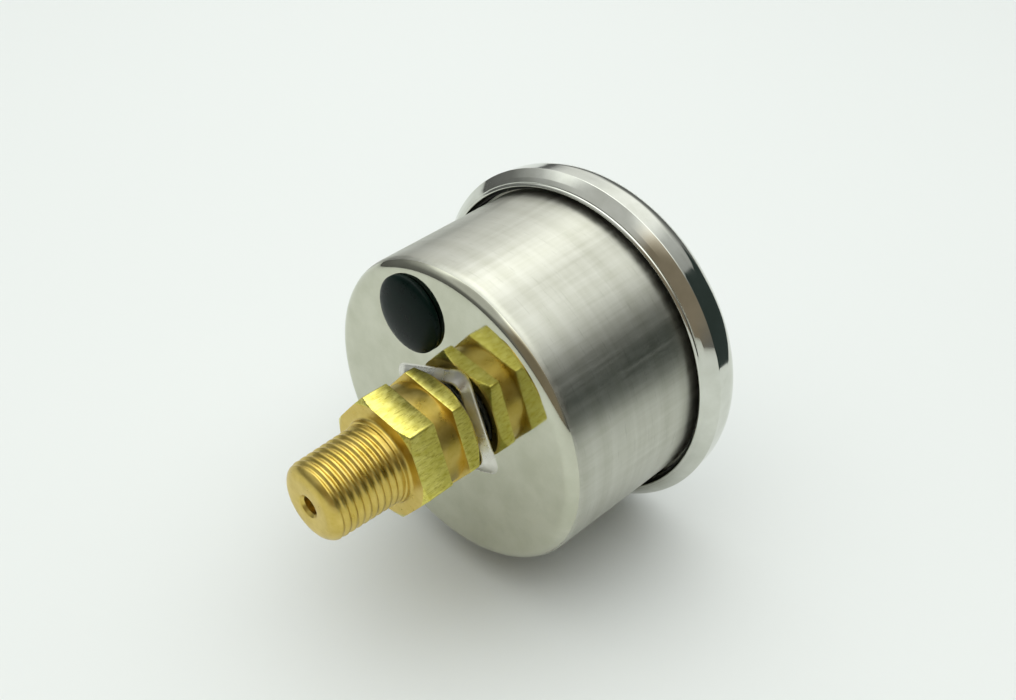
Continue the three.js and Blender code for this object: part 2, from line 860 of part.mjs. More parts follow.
// Toothed sector with its tail. At rest a gap between teeth faces the pinion.
function sectorGear() {
  const pitchAngle = (2 * Math.PI) / sectorTeethInCircle;
  const facing = rad(sectorDirection + 180);
  const pitch = (gearModule * sectorTeethInCircle) / 2;
  const inside = pitch - sectorBand;
  const points = [];
  for (let i = 0; i < sectorTeethCut; i++) {
    const centre = facing - (sectorFirstTooth + sectorTeethCut - 1 - i) * pitchAngle;
    points.push(...toothPoints(sectorTeethInCircle, centre, sectorSpot));
  }
  const last = facing - (sectorFirstTooth - 0.3) * pitchAngle;
  const first = facing - (sectorFirstTooth + sectorTeethCut - 0.7) * pitchAngle;
  const at = (radius, angle) =>
    new THREE.Vector2(
      sectorSpot[0] + radius * Math.cos(angle),
      sectorSpot[1] + radius * Math.sin(angle),
    );
  const innerEdge = [];
  for (let i = 0; i <= 6; i++) {
    innerEdge.push(at(inside, THREE.MathUtils.lerp(last, first, i / 6)));
  }
  const back = sectorBack;
  const front = sectorBack + sectorThickness;
  const middle = (first + last) / 2;
  const spoke = roundBar(sectorSpot, at(inside + 0.3, middle).toArray(), spokeWidth);
  const web = new THREE.Shape([
    at(webRoot, middle - webSpread),
    at(inside + 0.2, first),
    at(inside + 0.2, middle),
    at(inside + 0.2, last),
    at(webRoot, middle + webSpread),
  ]);
  const window = new THREE.Shape([
    at(2.2, middle),
    at(inside - 0.7, first + 0.2),
    at(inside - 0.7, last - 0.2),
  ]);
  return plate(new THREE.Shape([...points, ...innerEdge]), back, front)
    .add(plate(web, back, front).subtract(plate(window, back - 1, front + 1)))
    .add(plate(spoke, back, front, 3))
    .add(plate(roundBar(sectorSpot, tailSpot, linkWidth), back, front, 6))
    .add(disc(sectorHub, back, front, SMALL, sectorSpot))
    .subtract(hole(arborRadius + SEAT, back, front, sectorSpot))
    .subtract(hole(linkPinRadius + SEAT, back, front, tailSpot));
}

function sectorArbor() {
  return turned(
    [
      [0, -(backPlate + pivotSunk)],
      [0, -(frontPlateFace - pivotSunk)],
      [pivotRadius, -(frontPlateFace - pivotSunk)],
      [pivotRadius, -(frontPlate - pivotShoulder)],
      [arborRadius, -(frontPlate - pivotShoulder)],
      [arborRadius, -(plateGap + pivotShoulder)],
      [pivotRadius, -(plateGap + pivotShoulder)],
      [pivotRadius, -(backPlate + pivotSunk)],
    ],
    12,
    sectorSpot,
  );
}

function linkRod() {
  const front = linkBack + linkThickness;
  const tipEye = linkPinRadius + linkPinPlay;
  return plate(roundBar(tailSpot, tipSpot, linkWidth), linkBack, front, 8)
    .subtract(hole(linkPinRadius + SOCKETED, linkBack, front, tailSpot))
    .subtract(hole(tipEye, linkBack, front, tipSpot));
}

// A headed pin; the head is on the side of headDepth.
function headedPin(spot, headDepth, endDepth) {
  const sign = Math.sign(endDepth - headDepth);
  const shoulder = headDepth + sign * pinHeadHeight;
  return turned(
    [
      [0, -headDepth],
      [0, -endDepth],
      [linkPinRadius, -endDepth],
      [linkPinRadius, -shoulder],
      [linkPinRadius + pinHead, -shoulder],
      [linkPinRadius + pinHead, -headDepth],
    ],
    12,
    spot,
  );
}

function hairspring() {
  const strip = new THREE.Shape();
  const [w, t] = [springWide / 2, springStrip / 2];
  strip.moveTo(-w, -t).lineTo(w, -t).lineTo(w, t).lineTo(-w, t).closePath();
  const depth = springBack + springWide / 2;
  const coil = new Coil(springInner, springOuter, 0, springTurns * 360, depth);
  return swept(strip, coil, springTurns * 18);
}

add("pinion", pinion(), finish.screwSteel);
add("sector_gear", sectorGear(), finish.brass);
add("sector_arbor", sectorArbor(), finish.screwSteel);
add("link_rod", linkRod(), finish.brass);
add(
  "link_pin_tip",
  headedPin(tipSpot, linkBack + linkThickness + 0.45, earBack - 0.1),
  finish.screwSteel,
);
add(
  "link_pin_sector",
  headedPin(tailSpot, linkBack - 0.45, sectorBack + sectorThickness + 0.1),
  finish.screwSteel,
);
add(
  "hairspring_collet",
  ring(arborRadius + SEAT, springInner - 0.25, springBack - 0.1, springBack + springWide + 0.2, 12),
  finish.brass,
);
add("hairspring", hairspring(), finish.bronze);
const studSpot = springOuter + springStrip / 2 + studRadius + 0.06;
add(
  "hairspring_stud",
  disc(studRadius, springBack - 0.1, frontPlate - SEAT, 12, [studSpot, 0]),
  finish.brass,
);

// ---------- Dial and pointer ----------

function dialPlate() {
  const radius = caseFrontRadius - caseWall - dialClearance;
  let dial = disc(radius, dialBack, dialFace, ROUND);
  const holes = [
    [[0, 0], dialHole],
    ...dialPostSpots.map(screwHole),
    [stopSpot, stopPinRadius + SEAT],
  ];
  for (const [spot, size] of holes) dial = dial.subtract(hole(size, dialBack, dialFace, spot));
  return dial;
}

function pointerBlade() {
  const blade = new THREE.Shape();
  blade.moveTo(0, -pointerHalfWidth);
  blade.lineTo(pointerReach, -pointerTipHalfWidth);
  blade.lineTo(pointerReach, pointerTipHalfWidth);
  blade.lineTo(0, pointerHalfWidth);
  blade.lineTo(-pointerTail, pointerTailRadius);
  blade.absarc(-pointerTail, 0, pointerTailRadius, Math.PI / 2, 1.5 * Math.PI, false);
  blade.closePath();
  const flat = new THREE.ExtrudeGeometry(blade, {
    depth: pointerThickness,
    bevelEnabled: false,
    curveSegments: 6,
  });
  flat.rotateZ(rad(pointerRest)).rotateX(Math.PI / 2).translate(0, -pointerBack, 0);
  return solid(flat)
    .add(disc(hubRadius + 0.5, pointerBack, pointerFace, 20))
    .subtract(hole(hubStem + SEAT, pointerBack, pointerFace));
}

function pointerHub() {
  const bore = pivotRadius + SOCKETED;
  return turned(
    [
      [bore, -(pointerBack - 0.4)],
      [bore, -(pointerFace + hubHeight)],
      [hubRadius - 0.2, -(pointerFace + hubHeight)],
      [hubRadius, -(pointerFace + hubHeight - 0.2)],
      [hubRadius, -(pointerFace + SEAT)],
      [hubStem, -(pointerFace + SEAT)],
      [hubStem, -(pointerBack - 0.4)],
    ],
    20,
  );
}

add("dial_plate", dialPlate(), finish.dial);
dialPostSpots.forEach((spot, i) => {
  const post = disc(dialPostRadius, frontPlateFace + SEAT, dialBack - SEAT, 12, spot);
  const reach = dialThickness + dialScrewReach;
  const tapped = disc(screwShank + SOCKETED, dialFace - reach - 0.2, dialBack + 1, 12, spot);
  add(`dial_post_${i + 1}`, post.subtract(tapped), finish.brass);
  const head = dialFace + SEAT;
  add(`dial_screw_${i + 1}`, screw(spot, head, head - reach), finish.screwSteel);
});
add("pointer", pointerBlade(), finish.black);
add("pointer_hub", pointerHub(), finish.brass);
add(
  "pointer_stop_pin",
  disc(stopPinRadius, dialBack - 0.2, pointerFace + 0.15, 12, stopSpot),
  finish.screwSteel,
);

export default gauge;
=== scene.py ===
# %% [markdown]
# # A small pressure gauge with a steel case and a brass connector
# The gauge is seen from behind, as it lies loose on a pale table. Its back is a cup drawn from
# thin stainless steel. A brass connector with a pipe thread stands in the middle of the back, a
# rubber plug closes the filling hole, and a polished bezel is rolled round the front. The script
# loads the imported model first. That model is the fixed frame: every finer piece made here takes
# its place from it, and all but the Bourdon tube ride on one of its bodies.

import math
from functools import partial

import bmesh
import bpy
import numpy as np
from mathutils import Matrix, Vector


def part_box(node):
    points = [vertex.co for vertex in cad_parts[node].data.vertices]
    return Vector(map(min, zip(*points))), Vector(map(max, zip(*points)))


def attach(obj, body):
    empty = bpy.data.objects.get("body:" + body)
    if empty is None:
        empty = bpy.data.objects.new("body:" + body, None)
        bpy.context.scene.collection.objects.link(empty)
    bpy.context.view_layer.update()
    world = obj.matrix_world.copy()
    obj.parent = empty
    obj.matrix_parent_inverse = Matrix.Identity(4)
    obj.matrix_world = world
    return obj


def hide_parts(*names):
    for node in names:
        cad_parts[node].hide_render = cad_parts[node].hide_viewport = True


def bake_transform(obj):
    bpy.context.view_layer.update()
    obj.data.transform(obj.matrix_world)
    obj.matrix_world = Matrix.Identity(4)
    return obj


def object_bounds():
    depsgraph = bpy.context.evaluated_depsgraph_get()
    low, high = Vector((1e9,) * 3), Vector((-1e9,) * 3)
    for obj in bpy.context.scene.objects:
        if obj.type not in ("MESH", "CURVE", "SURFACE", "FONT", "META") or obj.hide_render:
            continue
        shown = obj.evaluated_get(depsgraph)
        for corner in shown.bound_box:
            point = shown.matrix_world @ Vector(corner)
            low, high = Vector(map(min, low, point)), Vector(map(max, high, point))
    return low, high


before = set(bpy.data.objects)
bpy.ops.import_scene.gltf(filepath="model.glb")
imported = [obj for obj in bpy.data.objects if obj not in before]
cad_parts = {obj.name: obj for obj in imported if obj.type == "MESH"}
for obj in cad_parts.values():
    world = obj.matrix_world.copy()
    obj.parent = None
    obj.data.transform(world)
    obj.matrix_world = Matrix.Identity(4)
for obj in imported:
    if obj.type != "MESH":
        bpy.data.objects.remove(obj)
cad_low, cad_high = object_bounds()

# %% [markdown]
# ## Measures
# All pieces are written in millimetres, because that is how such a part is drawn. Blender works
# in metres, so one factor turns every point round at the very end. The gauge axis is Y. Heights
# are measured from the flat back of the case: plus is out towards the thread, minus is in towards
# the dial.

# %% Millimetres, and the plane that heights are measured from
MM = 0.001
BOSS_HEIGHT = 1.0
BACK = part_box("case_shell")[1].y / MM - BOSS_HEIGHT  # row-frame y of the flat back
FINE = 240  # facets round a large turned piece
BACK_TURN = math.radians(67.6)  # direction of the plug, and of one pair of boss sides
HEX_TURN = math.radians(9.9)  # direction of one corner of the hexagon
print("flat back at y =", round(BACK, 3), "mm")

# %% [markdown]
# ## One tool for turned and pressed pieces
# Nearly every piece of a gauge is turned on a lathe, pressed or drawn, so each is a stack of
# rings round one axis. A ring is a list of points, and a surface joins each ring to the next.
# Spin or a Screw modifier could do the round ones, but not a square boss or a hexagon, so one
# small function that joins any rings is simpler, and it gives closed walls with no stray faces.

# %% Join rings of points to one closed surface
CRISP = 32.0  # degrees between two faces from which their edge stays sharp
SAME_POINT = 1e-7  # metres: points this close are one point


def shown(name, data):
    """A new object with this data, linked to the scene."""
    made = bpy.data.objects.new(name, data)
    bpy.context.scene.collection.objects.link(made)
    return made


def keep_crisp(mesh, angle=CRISP):
    mesh.shade_smooth()
    mesh.set_sharp_from_angle(angle=math.radians(angle))


def skin(name, rings, finishes, bands=None, looped=True, crisp=CRISP):
    count = len(rings[0])
    points = np.concatenate([np.asarray(r, float) for r in rings]) * MM
    steps = len(rings) if looped else len(rings) - 1
    faces, slots = [], []
    for j in range(steps):
        here, there = j * count, ((j + 1) % len(rings)) * count
        for i in range(count):
            k = (i + 1) % count
            faces.append((here + i, here + k, there + k, there + i))
            slots.append(bands[j] if bands else 0)
    mesh = bpy.data.meshes.new(name)
    mesh.from_pydata(points.tolist(), [], faces)
    mesh.polygons.foreach_set("material_index", slots)
    tidy = bmesh.new()
    tidy.from_mesh(mesh)
    bmesh.ops.remove_doubles(tidy, verts=tidy.verts, dist=SAME_POINT)
    bmesh.ops.recalc_face_normals(tidy, faces=tidy.faces)
    tidy.to_mesh(mesh)
    tidy.free()
    keep_crisp(mesh, crisp)
    for finish in finishes:
        mesh.materials.append(finish)
    return shown(name, mesh)


# %% A round ring, and an outline whose corners are eased


def circle(radius, height, spot=(0.0, 0.0), count=FINE):
    turn = np.linspace(0, 2 * math.pi, count, endpoint=False)
    x, z = spot[0] + radius * np.cos(turn), spot[1] + radius * np.sin(turn)
    return np.stack([x, np.full(count, BACK + height), z], axis=1)


def eased(corners, steps=5):
    """Corners are (radius, height) or (radius, height, rounding). A rounding becomes an arc."""
    outline = []
    for i, corner in enumerate(corners):
        here = np.array(corner[:2], float)
        rounding = corner[2] if len(corner) > 2 else 0.0
        if not rounding:
            outline.append(tuple(here))
            continue
        back = np.array(corners[i - 1][:2], float) - here
        on = np.array(corners[(i + 1) % len(corners)][:2], float) - here
        room = 0.49 * min(np.linalg.norm(back), np.linalg.norm(on))
        back, on = back / np.linalg.norm(back), on / np.linalg.norm(on)
        half = math.acos(float(np.clip(back @ on, -1, 1))) / 2
        run = min(rounding / math.tan(half), room)
        radius = run * math.tan(half)
        centre = here + (back + on) / np.linalg.norm(back + on) * radius / math.sin(half)
        start, end = here + back * run - centre, here + on * run - centre
        first = math.atan2(start[1], start[0])
        swing = (math.atan2(end[1], end[0]) - first + math.pi) % (2 * math.pi) - math.pi
        for k in range(steps + 1):
            turn = first + swing * k / steps
            cos, sin = math.cos(turn), math.sin(turn)
            outline.append((centre[0] + radius * cos, centre[1] + radius * sin))
    return outline


def turned(name, corners, finish, spot=(0.0, 0.0), count=FINE, looped=True):
    rings = [circle(r, h, spot, count) for r, h in eased(corners)]
    return skin(name, rings, [finish], looped=looped)


# %% A ring with straight sides and rounded corners


def sided(sides, apothem, rounding, turn, angles):
    """How far a polygon with rounded corners is from its middle, at each of the angles."""
    half = math.pi / sides
    reach = (apothem - rounding) / math.cos(half)
    tangent = half - math.atan(reach * math.sin(half) / apothem)
    off = (angles - turn + half) % (2 * half) - half  # angle from the nearest corner
    inside = np.clip(rounding**2 - (reach * np.sin(off)) ** 2, 0, None)
    return np.where(
        np.abs(off) < tangent,
        reach * np.cos(off) + np.sqrt(inside),
        apothem / np.cos(half - np.abs(off)),
    )


def placed(radius, height, angles):
    radius = np.broadcast_to(radius, angles.shape)
    y = np.full(len(angles), BACK + height)
    return np.stack([radius * np.cos(angles), y, radius * np.sin(angles)], axis=1)


print("ring tools ready")

# %% [markdown]
# ## Finishes
# A finish is a small tree of nodes on one Principled shader. The patterns are noise that is
# stretched the way the tool left its marks: round the gauge axis on turned and brushed metal,
# along it on drawn bar. They read Object coordinates, which stay with the piece when a joint
# moves it. The bump heights are thousandths of a millimetre, as on real metal, so that only the
# highlights show them.

# %% Small helpers for shader trees


def new_finish(name, colour, roughness, metallic=0.0):
    finish = bpy.data.materials.new(name)
    finish.use_nodes = True
    shader = finish.node_tree.nodes["Principled BSDF"]
    shader.inputs["Base Color"].default_value = (*colour, 1.0)
    shader.inputs["Roughness"].default_value = roughness
    shader.inputs["Metallic"].default_value = metallic
    return finish


def node(tree, kind, inputs=None, **settings):
    made = tree.nodes.new(kind)
    for key, value in settings.items():
        setattr(made, key, value)
    for key, value in (inputs or {}).items():
        if isinstance(value, bpy.types.NodeSocket):
            tree.links.new(value, made.inputs[key])
        else:
            made.inputs[key].default_value = value
    return made


def math_node(tree, operation, *values):
    made = tree.nodes.new("ShaderNodeMath")
    made.operation = operation
    for i, value in enumerate(values):
        if isinstance(value, bpy.types.NodeSocket):
            tree.links.new(value, made.inputs[i])
        else:
            made.inputs[i].default_value = value
    return made.outputs[0]


def on_piece(tree):
    """The place on the piece, which stays with it when a joint moves it."""
    return node(tree, "ShaderNodeTexCoord").outputs["Object"]


def grain(finish, per_mm, detail=3.0, roughness=0.6, where=None):
    """Noise with about per_mm = (x, y, z) marks in each millimetre."""
    tree = finish.node_tree
    if where is None:
        where = on_piece(tree)
    scale = tuple(v / MM for v in per_mm)
    spread = node(tree, "ShaderNodeMapping", {"Vector": where, "Scale": scale})
    noise = node(
        tree,
        "ShaderNodeTexNoise",
        {"Vector": spread.outputs[0], "Scale": 1.0, "Detail": detail, "Roughness": roughness},
    )
    return noise.outputs[0]


def lathe_place(finish):
    """(distance from the gauge axis, height along it): constant along a turning tool's marks."""
    tree = finish.node_tree
    split = node(tree, "ShaderNodeSeparateXYZ", {0: on_piece(tree)})
    flat = node(tree, "ShaderNodeCombineXYZ", {0: split.outputs[0], 2: split.outputs[2]})
    reach = node(tree, "ShaderNodeVectorMath", {0: flat.outputs[0]}, operation="LENGTH")
    place = node(tree, "ShaderNodeCombineXYZ", {0: reach.outputs["Value"], 1: split.outputs[1]})
    return place.outputs[0]


def between(finish, factor, low, high, start=0.3, end=0.7):
    """Turns noise to a value between low and high."""
    spread = node(
        finish.node_tree,
        "ShaderNodeMapRange",
        {"Value": factor, "From Min": start, "From Max": end, "To Min": low, "To Max": high},
    )
    return spread.outputs[0]


def added(finish, one, two):
    return math_node(finish.node_tree, "ADD", one, two)


def tint(finish, factor, low, high, start=0.35, end=0.65):
    ramp = node(finish.node_tree, "ShaderNodeValToRGB", {0: factor})
    for stop, position, colour in zip(ramp.color_ramp.elements, (start, end), (low, high)):
        stop.position, stop.color = position, (*colour, 1.0)
    return ramp.outputs[0]


def mixed(finish, factor, low, high):
    mix = node(finish.node_tree, "ShaderNodeMix", data_type="RGBA")
    for socket, value in zip((mix.inputs[0], mix.inputs[6], mix.inputs[7]), (factor, low, high)):
        if isinstance(value, bpy.types.NodeSocket):
            finish.node_tree.links.new(value, socket)
        else:
            socket.default_value = (*value, 1.0) if isinstance(value, tuple) else value
    return mix.outputs[2]


def wear(finish, colour=None, roughness=None, heights=()):
    """Links colour and roughness, and adds bumps: heights are (noise, millimetres)."""
    tree = finish.node_tree
    shader = tree.nodes["Principled BSDF"]
    if colour is not None:
        tree.links.new(colour, shader.inputs["Base Color"])
    if roughness is not None:
        tree.links.new(roughness, shader.inputs["Roughness"])
    normal = None
    for noise, height in heights:
        inputs = {"Height": noise, "Distance": height * MM, "Strength": 1.0}
        if normal is not None:
            inputs["Normal"] = normal
        normal = node(tree, "ShaderNodeBump", inputs).outputs[0]
    if normal is not None:
        tree.links.new(normal, shader.inputs["Normal"])
    return finish


print("finish helpers ready")

# %% [markdown]
# ### Steel
# The case is drawn from sheet. Fine marks circle its side, close together, and spread a highlight
# into a band along the case; faint streaks run the other way, where the die drew the metal. An
# anisotropic shader whose tangent circles the axis gives that spread. Its back was pressed
# against a smooth punch: it is nearly a mirror, slightly clouded, with short handling scratches.
# The bezel is buffed to a mirror.

# %% Steel finishes


def brushed_side():
    steel = new_finish("steel_brushed_side", (0.47, 0.475, 0.405), 0.18, 1.0)
    place = lathe_place(steel)
    lines = grain(steel, (0.0, 8.0, 0.0), 5.0, 0.7, place)
    coarse = grain(steel, (0.0, 0.55, 0.0), 2.0, 0.5, place)
    short = grain(steel, (0.25, 6.0, 0.25), 3.0)
    drawn = grain(steel, (1.0, 0.02, 1.0), 5.0, 0.65)
    scuffs = grain(steel, (0.30, 3.2, 0.30), 3.0, 0.6)
    cloud = grain(steel, (0.08, 0.10, 0.08), 3.0)
    bright = added(steel, between(steel, coarse, 0.0, 0.5), between(steel, drawn, 0.0, 0.6))
    clean = mixed(
        steel,
        bright,
        tint(steel, cloud, (0.38, 0.38, 0.31), (0.46, 0.46, 0.39)),
        (0.56, 0.56, 0.50),
    )
    tone = mixed(steel, between(steel, scuffs, 0.0, 0.4, 0.60, 0.76), clean, (0.27, 0.27, 0.22))
    rough = added(steel, between(steel, short, 0.34, 0.40), between(steel, drawn, -0.07, 0.06))
    shader = steel.node_tree.nodes["Principled BSDF"]
    shader.inputs["Anisotropic"].default_value = 0.35
    shader.inputs["Anisotropic Rotation"].default_value = 0.25
    around = node(steel.node_tree, "ShaderNodeTangent", direction_type="RADIAL", axis="Y")
    steel.node_tree.links.new(around.outputs[0], shader.inputs["Tangent"])
    return wear(steel, tone, rough, [(lines, 0.0008), (drawn, 0.004)])


def pressed_back():
    steel = new_finish("steel_pressed_back", (0.57, 0.575, 0.465), 0.07, 1.0)
    cloud = grain(steel, (0.22, 0.22, 0.22), 4.0)
    fine = grain(steel, (6.0, 6.0, 6.0), 3.0)
    scratches = grain(steel, (0.35, 0.35, 7.0), 2.0)
    waves = grain(steel, (0.10, 0.10, 0.10), 1.0)
    tone = tint(steel, cloud, (0.51, 0.515, 0.41), (0.59, 0.595, 0.49))
    clean, scratched = between(steel, cloud, 0.04, 0.09), (0.0, 0.05, 0.55, 0.75)
    rough = added(steel, clean, between(steel, scratches, *scratched))
    return wear(steel, tone, rough, [(waves, 0.03), (fine, 0.0004), (scratches, 0.0006)])


def pressed_boss():
    steel = new_finish("steel_pressed_boss", (0.62, 0.61, 0.54), 0.3, 1.0)
    fine = grain(steel, (5.0, 5.0, 5.0), 3.0)
    cloud = grain(steel, (0.5, 0.5, 0.5), 3.0)
    tone = tint(steel, cloud, (0.62, 0.61, 0.55), (0.74, 0.73, 0.67))
    return wear(steel, tone, between(steel, cloud, 0.22, 0.36), [(fine, 0.001), (cloud, 0.01)])


def buffed_bezel():
    steel = new_finish("steel_buffed_bezel", (0.66, 0.67, 0.61), 0.06, 1.0)
    place = lathe_place(steel)
    lines = grain(steel, (2.0, 4.0, 0.0), 4.0, 0.6, place)
    cloud = grain(steel, (0.3, 0.3, 0.3), 3.0)
    rough = between(steel, cloud, 0.04, 0.10)
    tone = tint(steel, cloud, (0.60, 0.61, 0.545), (0.68, 0.69, 0.63))
    return wear(steel, tone, rough, [(lines, 0.0004), (cloud, 0.004)])


def plain_steel():
    steel = new_finish("steel_plain", (0.55, 0.55, 0.53), 0.3, 1.0)
    fine = grain(steel, (5.0, 5.0, 5.0), 3.0)
    return wear(steel, None, between(steel, fine, 0.25, 0.42), [(fine, 0.001)])


STEEL_SIDE, STEEL_BACK, STEEL_BOSS = brushed_side(), pressed_back(), pressed_boss()
STEEL_BEZEL, STEEL_PLAIN = buffed_bezel(), plain_steel()
print("steel:", [m.name for m in (STEEL_SIDE, STEEL_BACK, STEEL_BEZEL, STEEL_PLAIN)])

# %% [markdown]
# ### Brass, bronze and rubber
# The connector starts as drawn hexagon bar. Its flats keep the mill's skin: duller, greener,
# pitted and streaked along the bar. Whatever the lathe touched is bright and more golden, with
# fine rings. Two finishes on one piece show the difference, so the piece has two material slots.

# %% Brass, bronze and rubber finishes


def drawn_flats():
    brass = new_finish("brass_drawn_flats", (0.72, 0.62, 0.19), 0.32, 1.0)
    mottle = grain(brass, (1.6, 0.7, 1.6), 5.0, 0.6)
    streaks = grain(brass, (3.5, 0.25, 3.5), 3.0)
    pits = grain(brass, (4.5, 1.1, 4.5), 5.0, 0.65)
    tone = mixed(
        brass,
        between(brass, pits, 1.0, 0.0, 0.30, 0.50),
        tint(brass, mottle, (0.62, 0.55, 0.09), (0.86, 0.80, 0.25), 0.3, 0.7),
        (0.46, 0.385, 0.055),
    )
    rough = added(brass, between(brass, mottle, 0.30, 0.40), between(brass, streaks, -0.05, 0.05))
    return wear(brass, tone, rough, [(streaks, 0.0005), (pits, 0.0005)])


def turned_brass():
    brass = new_finish("brass_turned", (0.74, 0.57, 0.20), 0.22, 1.0)
    place = lathe_place(brass)
    rings = grain(brass, (4.0, 4.0, 0.0), 3.0, 0.6, place)
    wide = grain(brass, (0.9, 0.9, 0.0), 1.0, 0.5, place)
    cloud = grain(brass, (0.5, 0.5, 0.5), 3.0)
    tone = tint(brass, cloud, (0.57, 0.42, 0.085), (0.68, 0.525, 0.15))
    rough = between(brass, cloud, 0.26, 0.36)
    return wear(brass, tone, rough, [(rings, 0.0014), (wide, 0.0010)])


def plain_brass(name, colour):
    brass = new_finish(name, colour, 0.28, 1.0)
    cloud = grain(brass, (0.8, 0.8, 0.8), 4.0)
    fine = grain(brass, (6.0, 6.0, 6.0), 2.0)
    tone = tint(brass, cloud, tuple(0.86 * c for c in colour), colour)
    return wear(brass, tone, between(brass, fine, 0.22, 0.34), [(fine, 0.001)])


def moulded_rubber(name, colour, roughness):
    rubber = new_finish(name, colour, roughness)
    cloud = grain(rubber, (0.5, 0.5, 0.5), 4.0)
    fine = grain(rubber, (9.0, 9.0, 9.0), 2.0)
    lighter = tuple(1.5 * c for c in colour)
    rough = between(rubber, cloud, roughness - 0.06, roughness + 0.08)
    return wear(rubber, tint(rubber, cloud, colour, lighter), rough, [(fine, 0.002), (cloud, 0.01)])


def dusty_rubber():
    rubber = new_finish("rubber_dusty", (0.018, 0.02, 0.017), 0.6)
    specks = grain(rubber, (3.2, 3.2, 3.2), 4.0, 0.7)
    tone = tint(rubber, specks, (0.014, 0.016, 0.013), (0.16, 0.15, 0.11), 0.56, 0.68)
    return wear(rubber, tone, between(rubber, specks, 0.5, 0.75), [(specks, 0.03)])


BRASS_FLATS, BRASS_TURNED = drawn_flats(), turned_brass()
BRASS_PLAIN = plain_brass("brass_plain", (0.80, 0.60, 0.22))
BRONZE = plain_brass("bronze_spring", (0.66, 0.42, 0.20))
RUBBER = moulded_rubber("rubber_black", (0.014, 0.015, 0.014), 0.55)
RUBBER_EDGE = dusty_rubber()
RUBBER_PLUG = moulded_rubber("rubber_plug", (0.0015, 0.0065, 0.005), 0.30)
RUBBER_PLUG.node_tree.nodes["Principled BSDF"].inputs["Specular IOR Level"].default_value = 0.08
print("brass, bronze and rubber ready")

# %% [markdown]
# ### Window, dial and pointer
# The window is a clear pane. The dial is white enamel on thin metal, slightly uneven, and its
# scale and pointer are printed or painted in matt black.

# %% Window, dial and paint finishes


def clear_pane():
    pane = new_finish("window_clear", (0.97, 0.985, 0.98), 0.02)
    shader = pane.node_tree.nodes["Principled BSDF"]
    shader.inputs["Transmission Weight"].default_value = 1.0
    shader.inputs["IOR"].default_value = 1.49
    haze = grain(pane, (0.3, 0.3, 0.3), 3.0)
    return wear(pane, None, between(pane, haze, 0.015, 0.035), [(haze, 0.002)])


def paint(name, colour, roughness, spread):
    coat = new_finish(name, colour, roughness)
    cloud = grain(coat, (0.25, 0.25, 0.25), 3.0)
    peel = grain(coat, (2.5, 2.5, 2.5), 2.0)
    shade = tuple(c * spread for c in colour)
    rough = between(coat, peel, roughness - 0.05, roughness + 0.05)
    return wear(coat, tint(coat, cloud, shade, colour), rough, [(peel, 0.002)])


PANE = clear_pane()
DIAL_WHITE = paint("dial_enamel", (0.88, 0.88, 0.845), 0.45, 0.97)
SCALE_BLACK = paint("scale_ink", (0.012, 0.012, 0.013), 0.5, 0.7)
POINTER_BLACK = paint("pointer_paint", (0.016, 0.016, 0.017), 0.38, 0.7)
print("window and paint finishes ready")

# %% [markdown]
# ### Finishes for the frame's own nodes
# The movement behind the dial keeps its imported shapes, which are right as they are. Each node
# gets one of the finishes by the metal that it is made of.

# %% Dress the frame's nodes
METAL_OF = {
    "bourdon_tube": BRONZE,
    "hairspring": BRONZE,
    "dial_plate": DIAL_WHITE,
    "pointer": POINTER_BLACK,
    "window_lens": PANE,
    "case_shell": STEEL_SIDE,
    "bezel_ring": STEEL_BEZEL,
    "fill_plug": RUBBER_PLUG,
    "restrictor_screw": BRASS_PLAIN,
}
BY_WORD = {
    "gasket": RUBBER,
    "screw": STEEL_PLAIN,
    "pin": STEEL_PLAIN,
    "arbor": STEEL_PLAIN,
    "pinion": STEEL_PLAIN,
    "washer": STEEL_PLAIN,
}
for name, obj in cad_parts.items():
    by_word = next((BY_WORD[w] for w in name.split("_") if w in BY_WORD), BRASS_PLAIN)
    finish = METAL_OF.get(name, by_word)
    for slot in obj.material_slots:
        slot.material = finish
    if not obj.material_slots:
        obj.data.materials.append(finish)
print("dressed", len(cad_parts), "nodes")

# %% [markdown]
# ## The case
# The case is one cup of 0.7 mm sheet. It narrows slightly to the back, has a drawn corner 1.8 mm
# round, and a rim at the front that the bezel grips. A square boss with rounded corners is
# pressed out of the back, so that the connector can't turn. The rings therefore change from round
# to square and back. A Boolean then cuts the hole for the filling plug, which is the one opening
# off the axis.

# %% Case sizes
CASE_FRONT_RADIUS = 21.25
CASE_BACK_RADIUS = 20.6
CASE_CORNER = 1.8
CASE_DEPTH = 23.9
CASE_WALL = 0.7
RIM_RADIUS = 22.9
BOSS_BASE, BOSS_TOP = 13.46 / 2, 11.5 / 2  # half the width across the boss
BOSS_EDGE, EDGE_INSET = 0.35, 0.18  # rounding of the boss's upper edge, and where it starts
BOSS_FOOT, FOOT_REACH = 0.45, 0.30  # the same for the hollow at its foot
BOSS_LEAN, BOSS_STEPS = math.radians(50), 4
CORNER_STEPS, POLISHED_STEPS, INNER_STEPS = 12, 8, 6  # the polish ends two thirds round the corner
SHANK_HOLE = 5.1
PLUG_REACH = 13.97
PLUG_SPOT = (PLUG_REACH * math.cos(BACK_TURN), PLUG_REACH * math.sin(BACK_TURN))
PLUG_HOLE = 4.2
ON_BACK, ON_SIDE, ON_BOSS = 0, 1, 2  # material slots of the case

# %% Rings of the case, from the connector's hole outwards, forwards, and back along the inside


